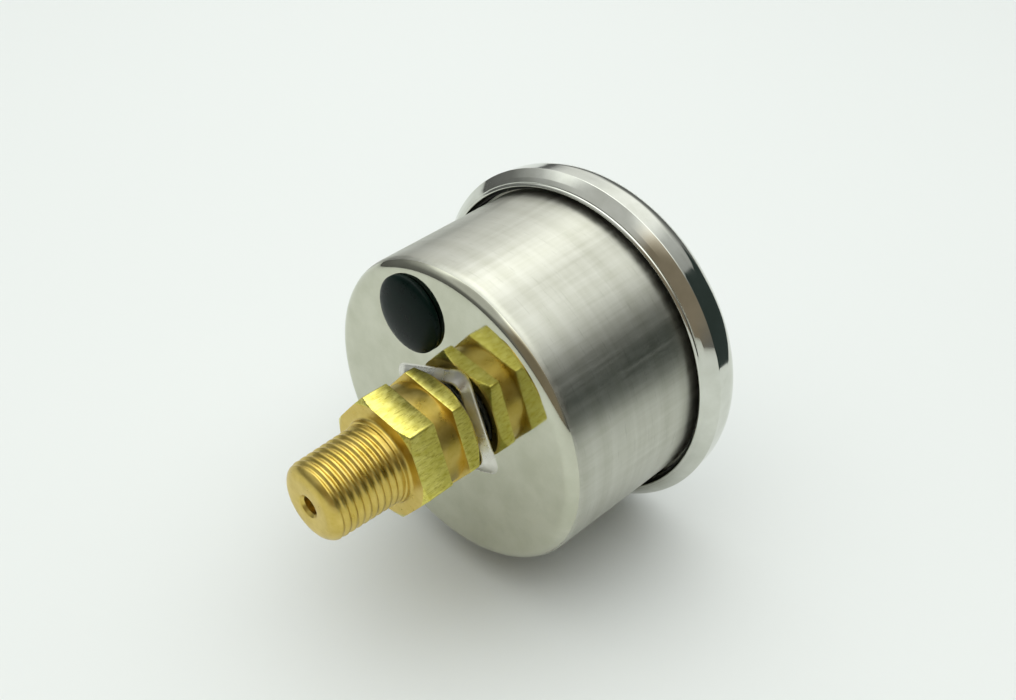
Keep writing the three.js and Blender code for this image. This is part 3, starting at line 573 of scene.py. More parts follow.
def case_rings():
    turns = np.linspace(0, 2 * math.pi, FINE, endpoint=False)
    rings, bands = [], []

    def round_ring(radius, height, band=ON_BACK):
        rings.append(placed(radius, height, turns))
        bands.append(band)

    def square_ring(apothem, rounding, height):
        radius = sided(4, apothem, rounding, BACK_TURN + math.pi / 4, turns)
        rings.append(placed(radius, height, turns))
        bands.append(ON_BOSS if height > 0.01 else ON_BACK)

    round_ring(SHANK_HOLE, BOSS_HEIGHT - CASE_WALL)
    round_ring(SHANK_HOLE, BOSS_HEIGHT - 0.06)
    round_ring(SHANK_HOLE + 0.06, BOSS_HEIGHT)
    square_ring(BOSS_TOP - 0.30, 0.9, BOSS_HEIGHT)
    square_ring(BOSS_TOP - EDGE_INSET, 1.1, BOSS_HEIGHT)
    for step in range(1, BOSS_STEPS + 1):  # eased upper edge
        turn = step / BOSS_STEPS * BOSS_LEAN
        apothem = BOSS_TOP - EDGE_INSET + BOSS_EDGE * math.sin(turn)
        square_ring(apothem, 1.3, BOSS_HEIGHT - BOSS_EDGE * (1 - math.cos(turn)))
    square_ring(BOSS_BASE - 0.22, 1.7, 0.22)
    for step in range(BOSS_STEPS + 1):  # hollow foot
        turn = (1 - step / BOSS_STEPS) * BOSS_LEAN
        apothem = BOSS_BASE + FOOT_REACH - BOSS_FOOT * math.sin(turn)
        square_ring(apothem, 1.9, BOSS_FOOT * (1 - math.cos(turn)))
    square_ring(BOSS_BASE + 0.6, 2.4, 0.0)
    flat = CASE_BACK_RADIUS - CASE_CORNER
    for radius in (10.5, 14.0, flat - 0.5):
        round_ring(radius, 0.0)
    for step in range(CORNER_STEPS + 1):
        turn = step / CORNER_STEPS * math.pi / 2
        band = ON_BACK if step < POLISHED_STEPS else ON_SIDE
        round_ring(flat + CASE_CORNER * math.sin(turn), CASE_CORNER * (math.cos(turn) - 1), band)
    rim_back = CASE_DEPTH - CASE_WALL
    for share in (0.03, 0.25, 0.5, 0.75, 0.97):
        radius = CASE_BACK_RADIUS + (CASE_FRONT_RADIUS - CASE_BACK_RADIUS) * share
        round_ring(radius, -CASE_CORNER - (rim_back - CASE_CORNER) * share, ON_SIDE)
    rim = [(CASE_FRONT_RADIUS, rim_back), (RIM_RADIUS, rim_back), (RIM_RADIUS, CASE_DEPTH)]
    for radius, depth in (*rim, (CASE_FRONT_RADIUS - CASE_WALL, CASE_DEPTH)):
        round_ring(radius, -depth, ON_SIDE)
    inner = CASE_CORNER - CASE_WALL
    for step in range(INNER_STEPS, -1, -1):
        turn = step / INNER_STEPS * math.pi / 2
        round_ring(flat + inner * math.sin(turn), -CASE_CORNER + inner * math.cos(turn))
    round_ring(8.6, -CASE_WALL)
    square_ring(BOSS_BASE - CASE_WALL, 1.2, -CASE_WALL)
    return rings, bands


# %% Build the case, and cut the filling hole


def evaluated(piece, name):
    """The piece as its modifiers leave it, as a plain mesh in a new object."""
    depsgraph = bpy.context.evaluated_depsgraph_get()
    mesh = bpy.data.meshes.new_from_object(piece.evaluated_get(depsgraph))
    made = shown(name, mesh)
    bpy.data.objects.remove(piece)
    made.name = name
    return made


def drilled(piece, drills, name):
    """The piece with each drill cut out of it, as a plain mesh. The drills are used up."""
    for drill in drills:
        cut = piece.modifiers.new("hole", "BOOLEAN")
        cut.object, cut.operation, cut.solver = drill, "DIFFERENCE", "EXACT"
    made = evaluated(piece, name)
    for drill in drills:
        bpy.data.objects.remove(drill)
    keep_crisp(made.data)
    return made


def seated(piece, node_name, body="root"):
    """Puts a finished piece on its body, in the place of one of the frame's nodes."""
    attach(piece, body)
    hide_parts(node_name)
    print(piece.name, len(piece.data.polygons), "faces")


rings, bands = case_rings()
cup = skin("case_cup", rings, [STEEL_BACK, STEEL_SIDE, STEEL_BOSS], bands)
rod = [(0, 2), (PLUG_HOLE, 2), (PLUG_HOLE, -2), (0, -2)]
drill = turned("plug_hole_drill", rod, STEEL_BACK, PLUG_SPOT, 96, looped=False)
seated(drilled(cup, [drill], "case_drawn_cup"), "case_shell")

# %% [markdown]
# ## The bezel and what it holds
# The bezel is a ring rolled over the case rim. From the back it shows a sloping lip, a crisp
# edge, a straight side and a rounded front. It is turned here from one outline whose corners are
# eased, because a polished edge is only seen by the thin line of light on its rounding. A wedge
# of rubber closes the gap to the case; the window and its own gasket lie inside.

# %% Bezel ring
BEZEL_ROUND = (21.40, -24.80)  # middle of the rounded front, radius and height
bezel = turned(
    "bezel_rolled_ring",
    [
        (22.05, -21.95, 0.1),
        (22.05, -21.10, 0.16),
        (22.42, -21.36, 0.1),
        (22.50, -21.50, 0.06),
        (22.62, -21.53, 0.06),
        (23.10, -21.91, 0.8),
        (24.00, -22.86, 0.10),
        (23.97, -23.20, 0.3),
        (23.85, -24.80, 1.2),
        *[
            (BEZEL_ROUND[0] + 2.45 * math.cos(t), BEZEL_ROUND[1] - 3.0 * math.sin(t))
            for t in np.linspace(0.12, math.pi / 2 - 0.05, 22)
        ],
        (21.36, -27.80, 0.1),
        (20.98, -27.80, 0.3),
        (20.62, -27.52, 0.3),
        (20.50, -27.10, 0.2),
        (20.50, -26.55),
        (22.40, -26.55),
        (23.00, -25.60, 0.3),
        (23.30, -24.80, 0.4),
        (23.30, -23.10, 0.3),
    ],
    STEEL_BEZEL,
    count=320,
)
seated(bezel, "bezel_ring")

# %% Rubber at the bezel's rear lip, window gasket and window
wedge = [(21.55, -21.78, 0.12), (21.55, -23.10), (22.72, -23.10), (21.95, -22.08, 0.08)]
seated(turned("case_gasket_wedge", wedge, RUBBER_EDGE), "case_gasket")
band = [(20.0, -24.0, 0.1), (20.0, -24.85, 0.1), (22.2, -24.85, 0.1), (22.2, -24.0, 0.1)]
seated(turned("window_gasket_ring", band, RUBBER), "window_gasket")
glass = [(0, -24.92), (22.2, -24.92, 0.1), (22.2, -26.5, 0.2), (0, -26.5)]
seated(turned("window_pane", glass, PANE, looped=False), "window_lens")

# %% [markdown]
# ## The Bourdon tube
# Pressure makes the flat oval tube straighten a little, so its free end moves while its root
# stays in the block. The tube is swept here as an outer and an inner skin, as one piece that
# rides on none of the bodies and doesn't bend.

# %% Tube swept as an outer and an inner skin
TUBE_RADIUS, TUBE_DEPTH, TUBE_WIDE, TUBE_THICK, TUBE_WALL = 14.0, -12.0, 6.0, 2.0, 0.35
TUBE_ROOT, TUBE_END, TUBE_RINGS = math.radians(-106), math.radians(-368), 96
HALF_OVAL = np.linspace(-math.pi / 2, math.pi / 2, 10)


def oval_ring(angle, wide, thick):
    """A ring round the tube's flat oval section, at one angle of its C."""
    ring = []
    for side in (1, -1):
        for turn in HALF_OVAL:
            radius = TUBE_RADIUS + side * thick / 2 * math.sin(turn)
            depth = TUBE_DEPTH + side * ((wide - thick) / 2 + thick / 2 * math.cos(turn))
            ring.append((radius * math.cos(angle), BACK + depth, radius * math.sin(angle)))
    return np.array(ring)


along = np.linspace(TUBE_ROOT, TUBE_END, TUBE_RINGS)
bore = TUBE_WIDE - 2 * TUBE_WALL, TUBE_THICK - 2 * TUBE_WALL
tube_rings = [oval_ring(a, TUBE_WIDE, TUBE_THICK) for a in along]
tube_rings += [oval_ring(a, *bore) for a in along[::-1]]
tube = skin("bourdon_tube_bent", tube_rings, [BRONZE])
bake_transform(tube)
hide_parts("bourdon_tube")
print(tube.name, len(tube.data.polygons), "faces")

# %% [markdown]
# ## The filling plug
# The plug is moulded rubber: a low dome with a soft edge over a neck that snaps into the case. It
# pulls straight out, so it rides on its own body and is a whole plug, not only the part that
# shows.

# %% Filling plug
PLUG_RADIUS, PLUG_SOFT = 5.0, 50  # degrees: its dome stays smooth over larger bends than metal
plug = turned(
    "fill_plug_moulded",
    [
        *[
            (PLUG_RADIUS * math.sin(t), 0.5 + 0.98 * math.cos(t))
            for t in np.linspace(0, math.pi / 2 - 0.06, 24)
        ],
        (PLUG_RADIUS, 0.42, 0.1),
        (PLUG_RADIUS, 0.05, 0.1),
        (3.9, 0.05, 0.05),
        (3.7, -0.35, 0.1),
        (3.7, -1.2, 0.2),
        (3.9, -1.7, 0.2),
        (3.9, -2.3, 0.3),
        (3.3, -3.0, 0.3),
        (0, -3.0),
    ],
    RUBBER_PLUG,
    PLUG_SPOT,
    128,
    looped=False,
)
keep_crisp(plug.data, PLUG_SOFT)
seated(plug, "fill_plug", "plug")

# %% [markdown]
# ## The connector
# The connector is one piece of hexagon bar. From the case outwards it has a short hexagon collar,
# a turned groove, the wrench hexagon and a tapered pipe thread. The hexagons are rings with six
# straight sides, held inside a cone at their chamfers: the cone meets the flats in the shallow
# arcs that show on every turned hexagon. The thread follows a rule, so Geometry Nodes cut it, in
# the next step.

# %% Connector sizes
HEX_APOTHEM = 7.0
HEX_EASE = 0.28
HEX_CORNER = HEX_APOTHEM / math.cos(math.pi / 6)
COLLAR_START, GROOVE_START, HEX_START, THREAD_START = 1.6, 3.8, 6.65, 10.65
GROOVE_RADIUS = 6.75
REACH = -BACK
SHANK_END, SHANK_RADIUS, RECESS = -6.6, 4.8, 6.6  # the recess is turned into the hexagons' ends
THREAD_TOP = 5.2
SHOULDER, SHOULDER_END = 5.4, THREAD_START + 0.75
THREAD_TAPER = 1 / 32
THREAD_PITCH = 0.9408
THREAD_DEPTH = 0.30
BORE = 1.18
COLLAR_STEPS, CHAMFER, CHAMFER_STEPS = 9, 0.45, 7
END_ROUND, END_DROP, END_STEPS = 1.45, 1.9, 18
ON_FLATS, ON_TURNED = 0, 1

# %% Angles round the bar: close together at the six corners


def bar_angles():
    side = math.pi / 3
    near = [0.0, 0.45, 0.9, 1.4]
    wide = np.linspace(2.6, 57.4, 20).tolist()
    steps = sorted(near + wide + [60 - n for n in near[1:]])
    one = np.radians(np.array(steps))
    return np.concatenate([HEX_TURN + k * side + one for k in range(6)])


BAR = bar_angles()


def hexagon(height, cone=None, inset=0.0):
    radius = sided(6, HEX_APOTHEM - inset, HEX_EASE, HEX_TURN, BAR)
    if cone is not None:
        radius = np.minimum(radius, cone)
    return placed(radius, height, BAR)


# %% Rings of the connector, from the bore out over the thread end and back through the shank


def connector_rings():
    rings, bands = [], []

    def keep(ring, band=ON_TURNED):
        rings.append(ring)
        bands.append(band)

    def turned_ring(radius, height):
        keep(placed(radius, height, BAR))

    shank = [(BORE, SHANK_END), (SHANK_RADIUS - 0.3, SHANK_END), (SHANK_RADIUS, SHANK_END + 0.3)]
    for radius, height in (*shank, (SHANK_RADIUS, COLLAR_START), (RECESS, COLLAR_START)):
        turned_ring(radius, height)
    for step in range(COLLAR_STEPS + 1):  # collar, chamfered towards the case
        height = COLLAR_START + 0.09 * step
        slope = HEX_APOTHEM + 0.1 + (HEX_CORNER - HEX_APOTHEM - 0.1) * step / COLLAR_STEPS
        keep(hexagon(height, slope), ON_TURNED if step < 2 else ON_FLATS)
    keep(hexagon(GROOVE_START - 0.12), ON_FLATS)
    keep(hexagon(GROOVE_START - 0.02, inset=0.03))
    keep(hexagon(GROOVE_START, inset=0.1))
    turned_ring(GROOVE_RADIUS, GROOVE_START)
    turned_ring(GROOVE_RADIUS, HEX_START)
    keep(hexagon(HEX_START, inset=0.1))
    keep(hexagon(HEX_START + 0.02, inset=0.03), ON_FLATS)
    keep(hexagon(HEX_START + 0.12), ON_FLATS)
    for step in range(CHAMFER_STEPS + 1):  # chamfer towards the thread
        height = THREAD_START - CHAMFER + CHAMFER * step / CHAMFER_STEPS
        slope = HEX_CORNER - (HEX_CORNER - HEX_APOTHEM - 0.3) * step / CHAMFER_STEPS
        keep(hexagon(height, slope), ON_FLATS if step < CHAMFER_STEPS else ON_TURNED)
    keep(hexagon(THREAD_START, HEX_APOTHEM - 0.05))
    shoulder = [
        (RECESS, THREAD_START),
        (SHOULDER, THREAD_START, 0.35),
        (SHOULDER, THREAD_START + 0.7, 0.15),
        (THREAD_TOP - 0.1, THREAD_START + 0.74),
    ]
    for radius, height in eased(shoulder)[:-1]:
        turned_ring(radius, height)
    last = REACH - END_ROUND
    for height in np.arange(SHOULDER_END, last, THREAD_PITCH / 16):
        turned_ring(THREAD_TOP - (height - THREAD_START) * THREAD_TAPER, height)
    end = THREAD_TOP - (last - THREAD_START) * THREAD_TAPER
    for step in range(1, END_STEPS + 1):  # rounded end
        turn = step / END_STEPS * math.pi / 2
        turned_ring(end - END_DROP * (1 - math.cos(turn)), last + END_ROUND * math.sin(turn))
    mouth = [(2.2, REACH), (1.75, REACH - 0.02), (1.5, REACH - 0.06, 0.1), (BORE, REACH - 0.42)]
    for radius, height in eased(mouth):
        turned_ring(radius, height)
    return rings, bands


rings, bands = connector_rings()
blank = skin("connector_blank", rings, [BRASS_FLATS, BRASS_TURNED], bands, crisp=30)
print("blank with", len(rings), "rings")

# %% [markdown]
# ### The thread
# A thread is one groove wound round a cone. The tree below needs no curve: every point of the
# blank asks how far it is along the winding, which is its height over the pitch plus its share of
# a turn, and moves in towards the axis by the depth of the groove there. The winding is
# right-handed. Near the hexagon the groove runs out, as the die leaves it.

# %% Geometry Nodes tree that cuts a tapered thread


RIDGE_START, RIDGE_END = 0.10, 0.92  # share of half a turn over which the groove's side falls
PAST_WINDINGS = 64.0  # whole turns, so that the winding is never counted from below nought
IN_BORE = 2.5  # nothing nearer to the axis is moved


def new_tree(name, numbers, whole=()):
    """A Geometry Nodes tree with named sizes, and a finish that it gives to its pieces."""
    tree = bpy.data.node_groups.new(name, "GeometryNodeTree")
    inputs = [("Geometry", "Geometry"), *((label, "Int") for label in whole)]
    inputs += [*((label, "Float") for label in numbers), ("Finish", "Material")]
    for label, kind in inputs:
        tree.interface.new_socket(label, in_out="INPUT", socket_type="NodeSocket" + kind)
    tree.interface.new_socket("Geometry", in_out="OUTPUT", socket_type="NodeSocketGeometry")
    return tree, node(tree, "NodeGroupInput").outputs, partial(math_node, tree)


def end_tree(tree, geometry, finish, where=True):
    whole = node(tree, "GeometryNodeRealizeInstances", {0: geometry}).outputs[0]
    look = {"Geometry": whole, "Selection": where, "Material": finish}
    dressed = node(tree, "GeometryNodeSetMaterial", look).outputs[0]
    node(tree, "NodeGroupOutput", {0: dressed})


def eased_step(tree, value, start, end, low=0.0, high=1.0):
    """Goes from low to high, softly, while the value goes from start to end."""
    inputs = {"Value": value, "From Min": start, "From Max": end, "To Min": low, "To Max": high}
    return node(
        tree, "ShaderNodeMapRange", inputs, interpolation_type="SMOOTHSTEP"
    ).outputs[0]


def thread_tree():
    sizes = ("Pitch", "Depth", "Radius at Start", "Taper", "Start", "End", "Run Out")
    tree, given, maths = new_tree("cut_taper_thread", sizes)
    place = node(tree, "GeometryNodeInputPosition").outputs[0]
    split = node(tree, "ShaderNodeSeparateXYZ", {0: place}).outputs
    flat = node(tree, "ShaderNodeCombineXYZ", {0: split[0], 2: split[2]}).outputs[0]
    reach = node(tree, "ShaderNodeVectorMath", {0: flat}, operation="LENGTH")
    radius = reach.outputs["Value"]
    turn = maths("DIVIDE", maths("ARCTAN2", split[2], split[0]), 2 * math.pi)
    winding = maths("ADD", maths("DIVIDE", split[1], given["Pitch"]), turn)
    share = maths("FRACT", maths("ADD", winding, PAST_WINDINGS))
    ridge = maths("MULTIPLY", maths("ABSOLUTE", maths("SUBTRACT", share, 0.5)), 2.0)
    groove = eased_step(tree, ridge, RIDGE_START, RIDGE_END)
    along = maths("SUBTRACT", split[1], given["Start"])
    fade = eased_step(tree, along, 0.0, given["Run Out"])
    cut = maths("MULTIPLY", maths("MULTIPLY", groove, fade), given["Depth"])
    crest = maths("SUBTRACT", given["Radius at Start"], maths("MULTIPLY", along, given["Taper"]))
    wanted = maths("MINIMUM", radius, maths("SUBTRACT", crest, cut))
    scale = maths("DIVIDE", wanted, radius)
    x, z = maths("MULTIPLY", split[0], scale), maths("MULTIPLY", split[2], scale)
    moved = node(tree, "ShaderNodeCombineXYZ", {0: x, 1: split[1], 2: z}).outputs[0]
    inside = maths("LESS_THAN", split[1], given["End"])
    past = maths("GREATER_THAN", split[1], given["Start"])
    outer = maths("GREATER_THAN", radius, IN_BORE * MM)
    chosen = maths("MULTIPLY", maths("MULTIPLY", inside, past), outer)
    move = {"Geometry": given["Geometry"], "Selection": chosen, "Position": moved}
    threaded = node(tree, "GeometryNodeSetPosition", move).outputs[0]
    end_tree(tree, threaded, given["Finish"], past)
    return tree


def run_tree(piece, tree, name, **values):
    """Gives a piece the tree with its sizes, and returns the result as a plain mesh."""
    modifier = piece.modifiers.new(tree.name, "NODES")
    modifier.node_group = tree
    for item in tree.interface.items_tree:
        key = item.name.replace(" ", "_")
        if item.in_out == "INPUT" and key in values:
            modifier[item.identifier] = values[key]
    return evaluated(piece, name)


# %% Cut the thread
connector = run_tree(
    blank,
    thread_tree(),
    "connector_threaded",
    Pitch=THREAD_PITCH * MM,
    Depth=THREAD_DEPTH * MM,
    Radius_at_Start=THREAD_TOP * MM,
    Taper=THREAD_TAPER,
    Start=(BACK + THREAD_START + 0.72) * MM,
    End=(BACK + REACH - 0.2) * MM,
    Run_Out=0.9 * MM,
    Finish=BRASS_TURNED,
)
seated(connector, "connector_socket")
front, back = REACH - 1.5, REACH - 4.5
screw = [(0.35, front), (1.08, front, 0.08), (1.08, back, 0.08), (0.35, back)]
seated(turned("restrictor_turned", screw, BRASS_PLAIN, count=96), "restrictor_screw")
seal = [(4.9, 1.05, 0.1), (4.9, 1.55, 0.1), (6.2, 1.55, 0.15), (6.2, 1.05, 0.15)]
seal = turned("socket_gasket_ring", seal, RUBBER, count=128)
seated(seal, "socket_gasket")

# %% [markdown]
# ## The dial
# The dial is a white disc with a black printed scale. The marks repeat round the scale, so
# Geometry Nodes place them: a line of points, each turned to its place on the arc, with one thin
# bar on each. The same tree makes the long and the short marks. The numerals are text, made into
# a mesh first.

# %% Dial disc with eased edge
DIAL_FACE, DIAL_BACK, DIAL_RADIUS = -22.7, -22.2, 19.9
POST_SPOTS, POST_HOLE, STOP_HOLE = ((-5.0, 0.0), (5.0, 0.0)), 0.6, 0.35
ZERO_MARK, SWEEP = 225.0, 270.0


def dial_disc():
    disc = [
        (1.5, DIAL_BACK),
        (1.5, DIAL_FACE, 0.05),
        (DIAL_RADIUS, DIAL_FACE, 0.08),
        (DIAL_RADIUS, DIAL_BACK, 0.08),
    ]
    blank = turned("dial_blank", disc, DIAL_WHITE)
    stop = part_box("pointer_stop_pin")
    stop_spot = ((stop[0].x + stop[1].x) / 2 / MM, (stop[0].z + stop[1].z) / 2 / MM)
    drills = []
    for spot, radius in (*((s, POST_HOLE) for s in POST_SPOTS), (stop_spot, STOP_HOLE)):
        rod = [(0, -20), (radius, -20), (radius, -25), (0, -25)]
        drills.append(turned("dial_drill", rod, DIAL_WHITE, spot, 32, looped=False))
    return drilled(blank, drills, "dial_disc")


seated(dial_disc(), "dial_plate")

# %% Geometry Nodes tree that sets bars round an arc


def scale_tree():
    sizes = ("Length", "Width", "Height", "Outer Radius", "First Angle", "Step Angle", "Face")
    tree, given, maths = new_tree("scale_marks", sizes, whole=("Marks",))
    points = node(tree, "GeometryNodePoints", {"Count": given["Marks"]}).outputs[0]
    index = node(tree, "GeometryNodeInputIndex").outputs[0]
    angle = maths("SUBTRACT", given["First Angle"], maths("MULTIPLY", index, given["Step Angle"]))
    middle = maths("SUBTRACT", given["Outer Radius"], maths("DIVIDE", given["Length"], 2.0))
    x = maths("MULTIPLY", middle, maths("COSINE", angle))
    z = maths("MULTIPLY", middle, maths("SINE", angle))
    spot = node(tree, "ShaderNodeCombineXYZ", {0: x, 1: given["Face"], 2: z}).outputs[0]
    move = {"Geometry": points, "Position": spot}
    spread = node(tree, "GeometryNodeSetPosition", move).outputs[0]
    lengths = {0: given["Length"], 1: given["Height"], 2: given["Width"]}
    size = node(tree, "ShaderNodeCombineXYZ", lengths).outputs[0]
    bar = node(tree, "GeometryNodeMeshCube", {"Size": size}).outputs[0]
    lean = node(tree, "ShaderNodeCombineXYZ", {1: maths("MULTIPLY", angle, -1.0)}).outputs[0]
    turns = node(tree, "FunctionNodeEulerToRotation", {0: lean}).outputs[0]
    setting = {"Points": spread, "Instance": bar, "Rotation": turns}
    bars = node(tree, "GeometryNodeInstanceOnPoints", setting).outputs[0]
    end_tree(tree, bars, given["Finish"])
    return tree


# %% Long and short marks
INK, SCALE_RADIUS = 0.02, 18.0  # thickness of the print, and the outer ends of the marks
MARKS = scale_tree()


def marks(name, count, length, width):
    made = run_tree(
        shown(name + "_seed", bpy.data.meshes.new(name)),
        MARKS,
        name,
        Marks=count,
        Length=length * MM,
        Width=width * MM,
        Height=INK * MM,
        Outer_Radius=SCALE_RADIUS * MM,
        First_Angle=math.radians(ZERO_MARK),
        Step_Angle=math.radians(SWEEP / (count - 1)),
        Face=(BACK + DIAL_FACE - INK / 2) * MM,
        Finish=SCALE_BLACK,
    )
    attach(made, "root")
    print(name, count, "marks")


marks("scale_long_marks", 11, 2.6, 0.42)
marks("scale_short_marks", 51, 1.4, 0.18)

# %% Numerals
WORDS, WORD_HEIGHT, WORD_RADIUS = ("0", "20", "40", "60", "80", "100"), 3.6, 12.9


def numerals():
    flat = []
    for k, word in enumerate(WORDS):
        angle = math.radians(ZERO_MARK - SWEEP * k / (len(WORDS) - 1))
        curve = bpy.data.curves.new("numeral", "FONT")
        curve.body, curve.size, curve.extrude = word, WORD_HEIGHT * MM, INK / 2 * MM
        curve.align_x, curve.align_y = "CENTER", "CENTER"
        letter = evaluated(shown("numeral", curve), "numeral_mesh")
        x, z = WORD_RADIUS * math.cos(angle), WORD_RADIUS * math.sin(angle)
        spot = Vector((x, BACK + DIAL_FACE - INK / 2, z)) * MM
        letter.data.transform(Matrix.Translation(spot) @ Matrix.Rotation(math.pi / 2, 4, "X"))
        flat.append(letter)
    whole = bmesh.new()
    for letter in flat:
        whole.from_mesh(letter.data)
        bpy.data.objects.remove(letter)
    bmesh.ops.remove_doubles(whole, verts=whole.verts, dist=SAME_POINT)
    mesh = bpy.data.meshes.new("scale_numerals")
    whole.to_mesh(mesh)
    whole.free()
    mesh.materials.append(SCALE_BLACK)
    return shown("scale_numerals", mesh)


figures = numerals()
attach(figures, "root")
print("numerals:", len(figures.data.polygons), "faces")

# %% [markdown]
# ## The pointer
# The pointer is stamped from thin sheet: a long tapered blade, a round boss and a weighted tail.
# Its outline can be drawn as one radius for each direction from the hub, so the ring tool makes
# it too.

# %% Pointer blade and hub
POINTER_BACK, POINTER_FACE = -23.7, -23.95
BLADE_REACH, BLADE_TAIL, TAIL_RADIUS = 15.6, 5.2, 1.3
BLADE_HUB, BLADE_HALF, TIP_HALF = 2.2, 0.95, 0.12  # boss radius; half widths at hub and tip


def blade_radius(turn):
    """How far the pointer's outline is from the hub, in the direction turn from its tip."""
    best = BLADE_HUB
    cos, sin = math.cos(turn), abs(math.sin(turn))
    if cos > 0:  # tapered side
        side = BLADE_HALF / (sin + cos * (BLADE_HALF - TIP_HALF) / BLADE_REACH)
        best = max(best, min(side, BLADE_REACH / cos))
    else:  # tail with a round end
        swing = BLADE_TAIL * sin
        if swing < TAIL_RADIUS:
            best = max(best, -BLADE_TAIL * cos + math.sqrt(TAIL_RADIUS**2 - swing**2))
        spread = (TAIL_RADIUS - BLADE_HALF) / BLADE_TAIL
        neck = BLADE_HALF / (sin + cos * spread) if sin > 0.1 else 0
        if 0 < neck * -cos < BLADE_TAIL:
            best = max(best, neck)
    return best


def pointer_blade():
    near_tip = [0.0, 0.2, 0.4, 0.44, 0.5, 0.6, 0.8, 1.2, 2, 3, 4, 6, 8, 10, 13, 16, 20, 25]
    half = np.radians(np.concatenate([near_tip, np.arange(32, 178, 4.0)]))
    turns = np.concatenate([half, [math.pi], 2 * math.pi - half[:0:-1]])
    radii = np.array([blade_radius(t) for t in turns])
    angles = turns + math.radians(ZERO_MARK)
    ease = 0.04
    rings = [
        placed(1.0, POINTER_BACK, angles),
        placed(1.0, POINTER_FACE, angles),
        placed(radii - ease, POINTER_FACE, angles),
        placed(radii, POINTER_FACE + ease, angles),
        placed(radii, POINTER_BACK - ease, angles),
        placed(radii - ease, POINTER_BACK, angles),
    ]
    return skin("pointer_blade", rings, [POINTER_BLACK])


seated(pointer_blade(), "pointer", "pointer")
hub = [
    (0.5, -23.3),
    (0.5, -24.6, 0.05),
    (1.7, -24.6, 0.22),
    (1.7, -24.0, 0.05),
    (0.95, -24.0),
    (0.95, -23.3),
]
hub = turned("pointer_hub_turned", hub, BRASS_PLAIN, count=96)
seated(hub, "pointer_hub", "pointer")

# %% [markdown]
# ## The table, the light and the camera
# The gauge lies on a plain pale table under a soft white tent. Polished metal shows its
# surroundings more than itself, so the tent matters. It is brightest overhead and fades to the
# horizon, which gives the dark bands along the case. Inside it is a clear dome with soft glowing
# areas, like lamps behind cloth: they give the bright bands. A few dim panels stand near the
# gauge. The dome and the panels are seen only in reflections. They, the tent and the table are
# stage, not parts of the gauge.

# %% Table
TABLE_SIZE = 3.0
table_mesh = bpy.data.meshes.new("table")
corners = [(-1, -1), (1, -1), (1, 1), (-1, 1)]
table_mesh.from_pydata(
    [(x * TABLE_SIZE, y * TABLE_SIZE, cad_low.z) for x, y in corners], [], [(0, 1, 2, 3)]
)
table = shown("table", table_mesh)
top = new_finish("table_top", (0.775, 0.80, 0.785), 0.6)
top.node_tree.nodes["Principled BSDF"].inputs["Specular IOR Level"].default_value = 0.2
table_mesh.materials.append(top)
print("table at z =", round(cad_low.z / MM, 2), "mm")

# %% Tools for the tent and what shines in it
MIDDLE = (cad_low + cad_high) / 2
TENT_CENTRE = Vector((MIDDLE.x, MIDDLE.y, cad_low.z))
TENT_RADIUS = 1.4


def reflected_only(piece, lights_the_rest=True):
    """Stage that isn't seen by the camera. What doesn't light the rest only shows in gloss."""
    piece.visible_camera = False
    piece.visible_shadow = piece.visible_diffuse = lights_the_rest


def bare_material(name):
    glow = bpy.data.materials.new(name)
    glow.use_nodes = True
    glow.node_tree.nodes.clear()
    return glow, glow.node_tree


def dome_mesh(name, radius, lowest):
    """The part of a sphere round the gauge that is above a height over the table."""
    dome = bmesh.new()
    bmesh.ops.create_uvsphere(dome, u_segments=48, v_segments=32, radius=radius)
    low_faces = [f for f in dome.faces if f.calc_center_median().z < lowest]
    bmesh.ops.delete(dome, geom=low_faces, context="FACES")
    dome.transform(Matrix.Translation(TENT_CENTRE))
    mesh = bpy.data.meshes.new(name)
    dome.to_mesh(mesh)
    dome.free()
    return mesh


def outward(tree):
    """The direction from the gauge to a place on a dome."""
    away = {0: on_piece(tree), 1: TENT_CENTRE}
    away = node(tree, "ShaderNodeVectorMath", away, operation="SUBTRACT").outputs[0]
    return node(tree, "ShaderNodeVectorMath", {0: away}, operation="NORMALIZE").outputs[0]


def round_spot(tree, away, direction, start, end, low=0.0, high=1.0):
    """A round area about a direction: high within the cosine end, low outside the cosine start."""
    pair = {0: away, 1: Vector(direction).normalized()}
    facing = node(tree, "ShaderNodeVectorMath", pair, operation="DOT_PRODUCT")
    return eased_step(tree, facing.outputs["Value"], start, end, low, high)


# %% Tent: a glowing dome, brightest overhead, with one dark and one warm side
CLOTH, WARM = (0.975, 1.0, 0.985, 1.0), (1.0, 0.84, 0.62, 1.0)
TENT_STOPS = ((0.0, 0.12), (0.30, 0.20), (0.55, 0.55), (0.72, 1.40), (1.0, 2.20))  # rise, level
TENT_STRENGTH, DARK_STRENGTH, WARM_LEVEL = 3.08, 0.6, 0.25
WARM_SIDE, DARK_SIDE = (-0.47, 0.80, 0.36), (-0.93, -0.12, 0.35)


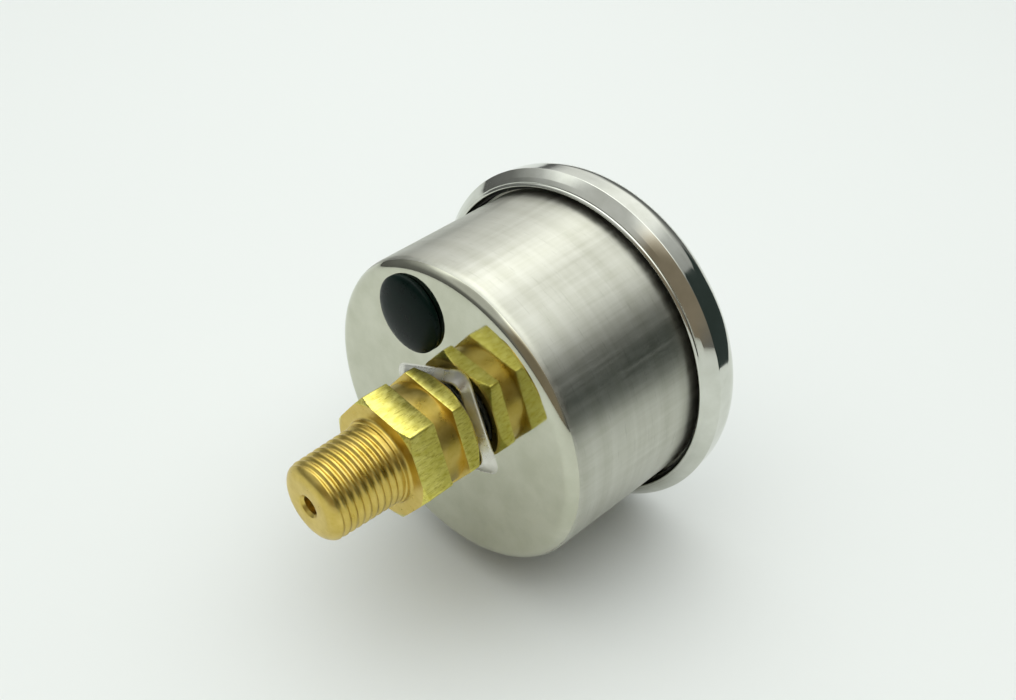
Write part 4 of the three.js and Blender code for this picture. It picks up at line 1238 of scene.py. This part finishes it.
def soft_tent():
    mesh = dome_mesh("soft_tent", TENT_RADIUS, -0.02 * TENT_RADIUS)
    glow, tree = bare_material("tent_cloth")
    maths = partial(math_node, tree)
    away = outward(tree)
    rise = node(tree, "ShaderNodeSeparateXYZ", {0: away}).outputs[2]
    ramp = node(tree, "ShaderNodeValToRGB", {0: rise})
    ramp.color_ramp.elements[0].position = TENT_STOPS[0][0]
    ramp.color_ramp.elements[1].position = TENT_STOPS[-1][0]
    for position, _ in TENT_STOPS[1:-1]:
        ramp.color_ramp.elements.new(position)
    for element, (_, level) in zip(ramp.color_ramp.elements, TENT_STOPS):
        element.color = (level / 3, level / 3, level / 3, 1.0)
    warm = round_spot(tree, away, WARM_SIDE, 0.74, 0.95)
    strength = round_spot(tree, away, DARK_SIDE, 0.76, 0.97, TENT_STRENGTH, DARK_STRENGTH)
    base = maths("MULTIPLY", ramp.outputs[0], strength)
    clear = maths("MULTIPLY", base, maths("SUBTRACT", 1.0, warm))
    level = maths("ADD", clear, maths("MULTIPLY", warm, WARM_LEVEL))
    hue = node(tree, "ShaderNodeMix", {0: warm}, data_type="RGBA")
    hue.inputs[6].default_value, hue.inputs[7].default_value = CLOTH, WARM
    light = node(tree, "ShaderNodeEmission", {"Color": hue.outputs[2], "Strength": level})
    node(tree, "ShaderNodeOutputMaterial", {"Surface": light.outputs[0]})
    mesh.materials.append(glow)
    reflected_only(shown("soft_tent", mesh))


soft_tent()

# %% A clear inner dome with soft glowing areas
AREAS = (  # direction, degrees from it to where the light is full and to where it has faded, level
    ((0.68, -0.56, 0.47), 12, 26, 1.0),
    ((0.20, -0.60, 0.76), 16, 29, 1.25),
    ((0.28, -0.38, 0.88), 8, 17, 3.0),
    ((0.25, 0.62, 0.74), 14, 30, 0.62),
)


def soft_areas():
    mesh = dome_mesh("soft_areas", 0.8 * TENT_RADIUS, 0.04 * TENT_RADIUS)
    glow, tree = bare_material("soft_areas")
    away = outward(tree)
    surface = node(tree, "ShaderNodeBsdfTransparent").outputs[0]
    for direction, full, faded, level in AREAS:
        start, end = (math.cos(math.radians(degrees)) for degrees in (faded, full))
        share = round_spot(tree, away, direction, start, end)
        light = {"Color": (0.985, 1.0, 0.98, 1.0), "Strength": level}
        light = node(tree, "ShaderNodeEmission", light).outputs[0]
        surface = node(tree, "ShaderNodeMixShader", {0: share, 1: surface, 2: light}).outputs[0]
    node(tree, "ShaderNodeOutputMaterial", {"Surface": surface})
    mesh.materials.append(glow)
    reflected_only(shown("soft_areas", mesh), lights_the_rest=False)


soft_areas()

# %% Dim panels that stand round the gauge, for the dark bands in the steel
DIM, DIM_LEVEL = (0.62, 0.85, 0.80), 0.055


def dim_panel(name, foot_from, foot_to, top, far_top):
    """Stands on the table between two points (x, y), with its two upper corners in millimetres."""
    base = cad_low.z / MM
    corners = [(*foot_from, base), (*foot_to, base), (*foot_to, far_top), (*foot_from, top)]
    mesh = bpy.data.meshes.new(name)
    mesh.from_pydata([tuple(c * MM for c in p) for p in corners], [], [(0, 1, 2, 3)])
    glow, tree = bare_material(name)
    light = node(tree, "ShaderNodeEmission", {"Color": (*DIM, 1.0), "Strength": DIM_LEVEL})
    node(tree, "ShaderNodeOutputMaterial", {"Surface": light.outputs[0]})
    mesh.materials.append(glow)
    reflected_only(shown(name, mesh), lights_the_rest=False)


dim_panel("dim_beside", (-30, -165), (-85, -112), 60, 60)
dim_panel("dim_near", (-85, -112), (-420, -290), 60, 190)
dim_panel("dim_far", (-420, -290), (-640, -60), 190, 230)

world = bpy.data.worlds.new("pale_room")
bpy.context.scene.world = world
world.use_nodes = True
sky = world.node_tree.nodes["Background"]
sky.inputs["Color"].default_value = (0.855, 0.896, 0.871, 1.0)
print("tent and panels ready")

# %% Camera
CAMERA_SPOT, CAMERA_LOOKS = (-0.07009, 0.04188, 0.07835), (0.5576, -0.5866, -0.5874)
camera_data = bpy.data.cameras.new("camera")
camera_data.lens = 35.46
camera_data.sensor_width = 36.0
camera_data.clip_start = 0.001
camera = shown("camera", camera_data)
forward = Vector(CAMERA_LOOKS).normalized()
right = forward.cross(Vector((0, 0, 1))).normalized()
turn = Matrix((right, right.cross(forward), -forward)).transposed().to_4x4()
camera.matrix_world = Matrix.Translation(CAMERA_SPOT) @ turn
bpy.context.scene.camera = camera
bpy.context.scene.view_settings.view_transform = "Standard"
print("camera", round((camera.location - MIDDLE).length / MM), "mm from the gauge")
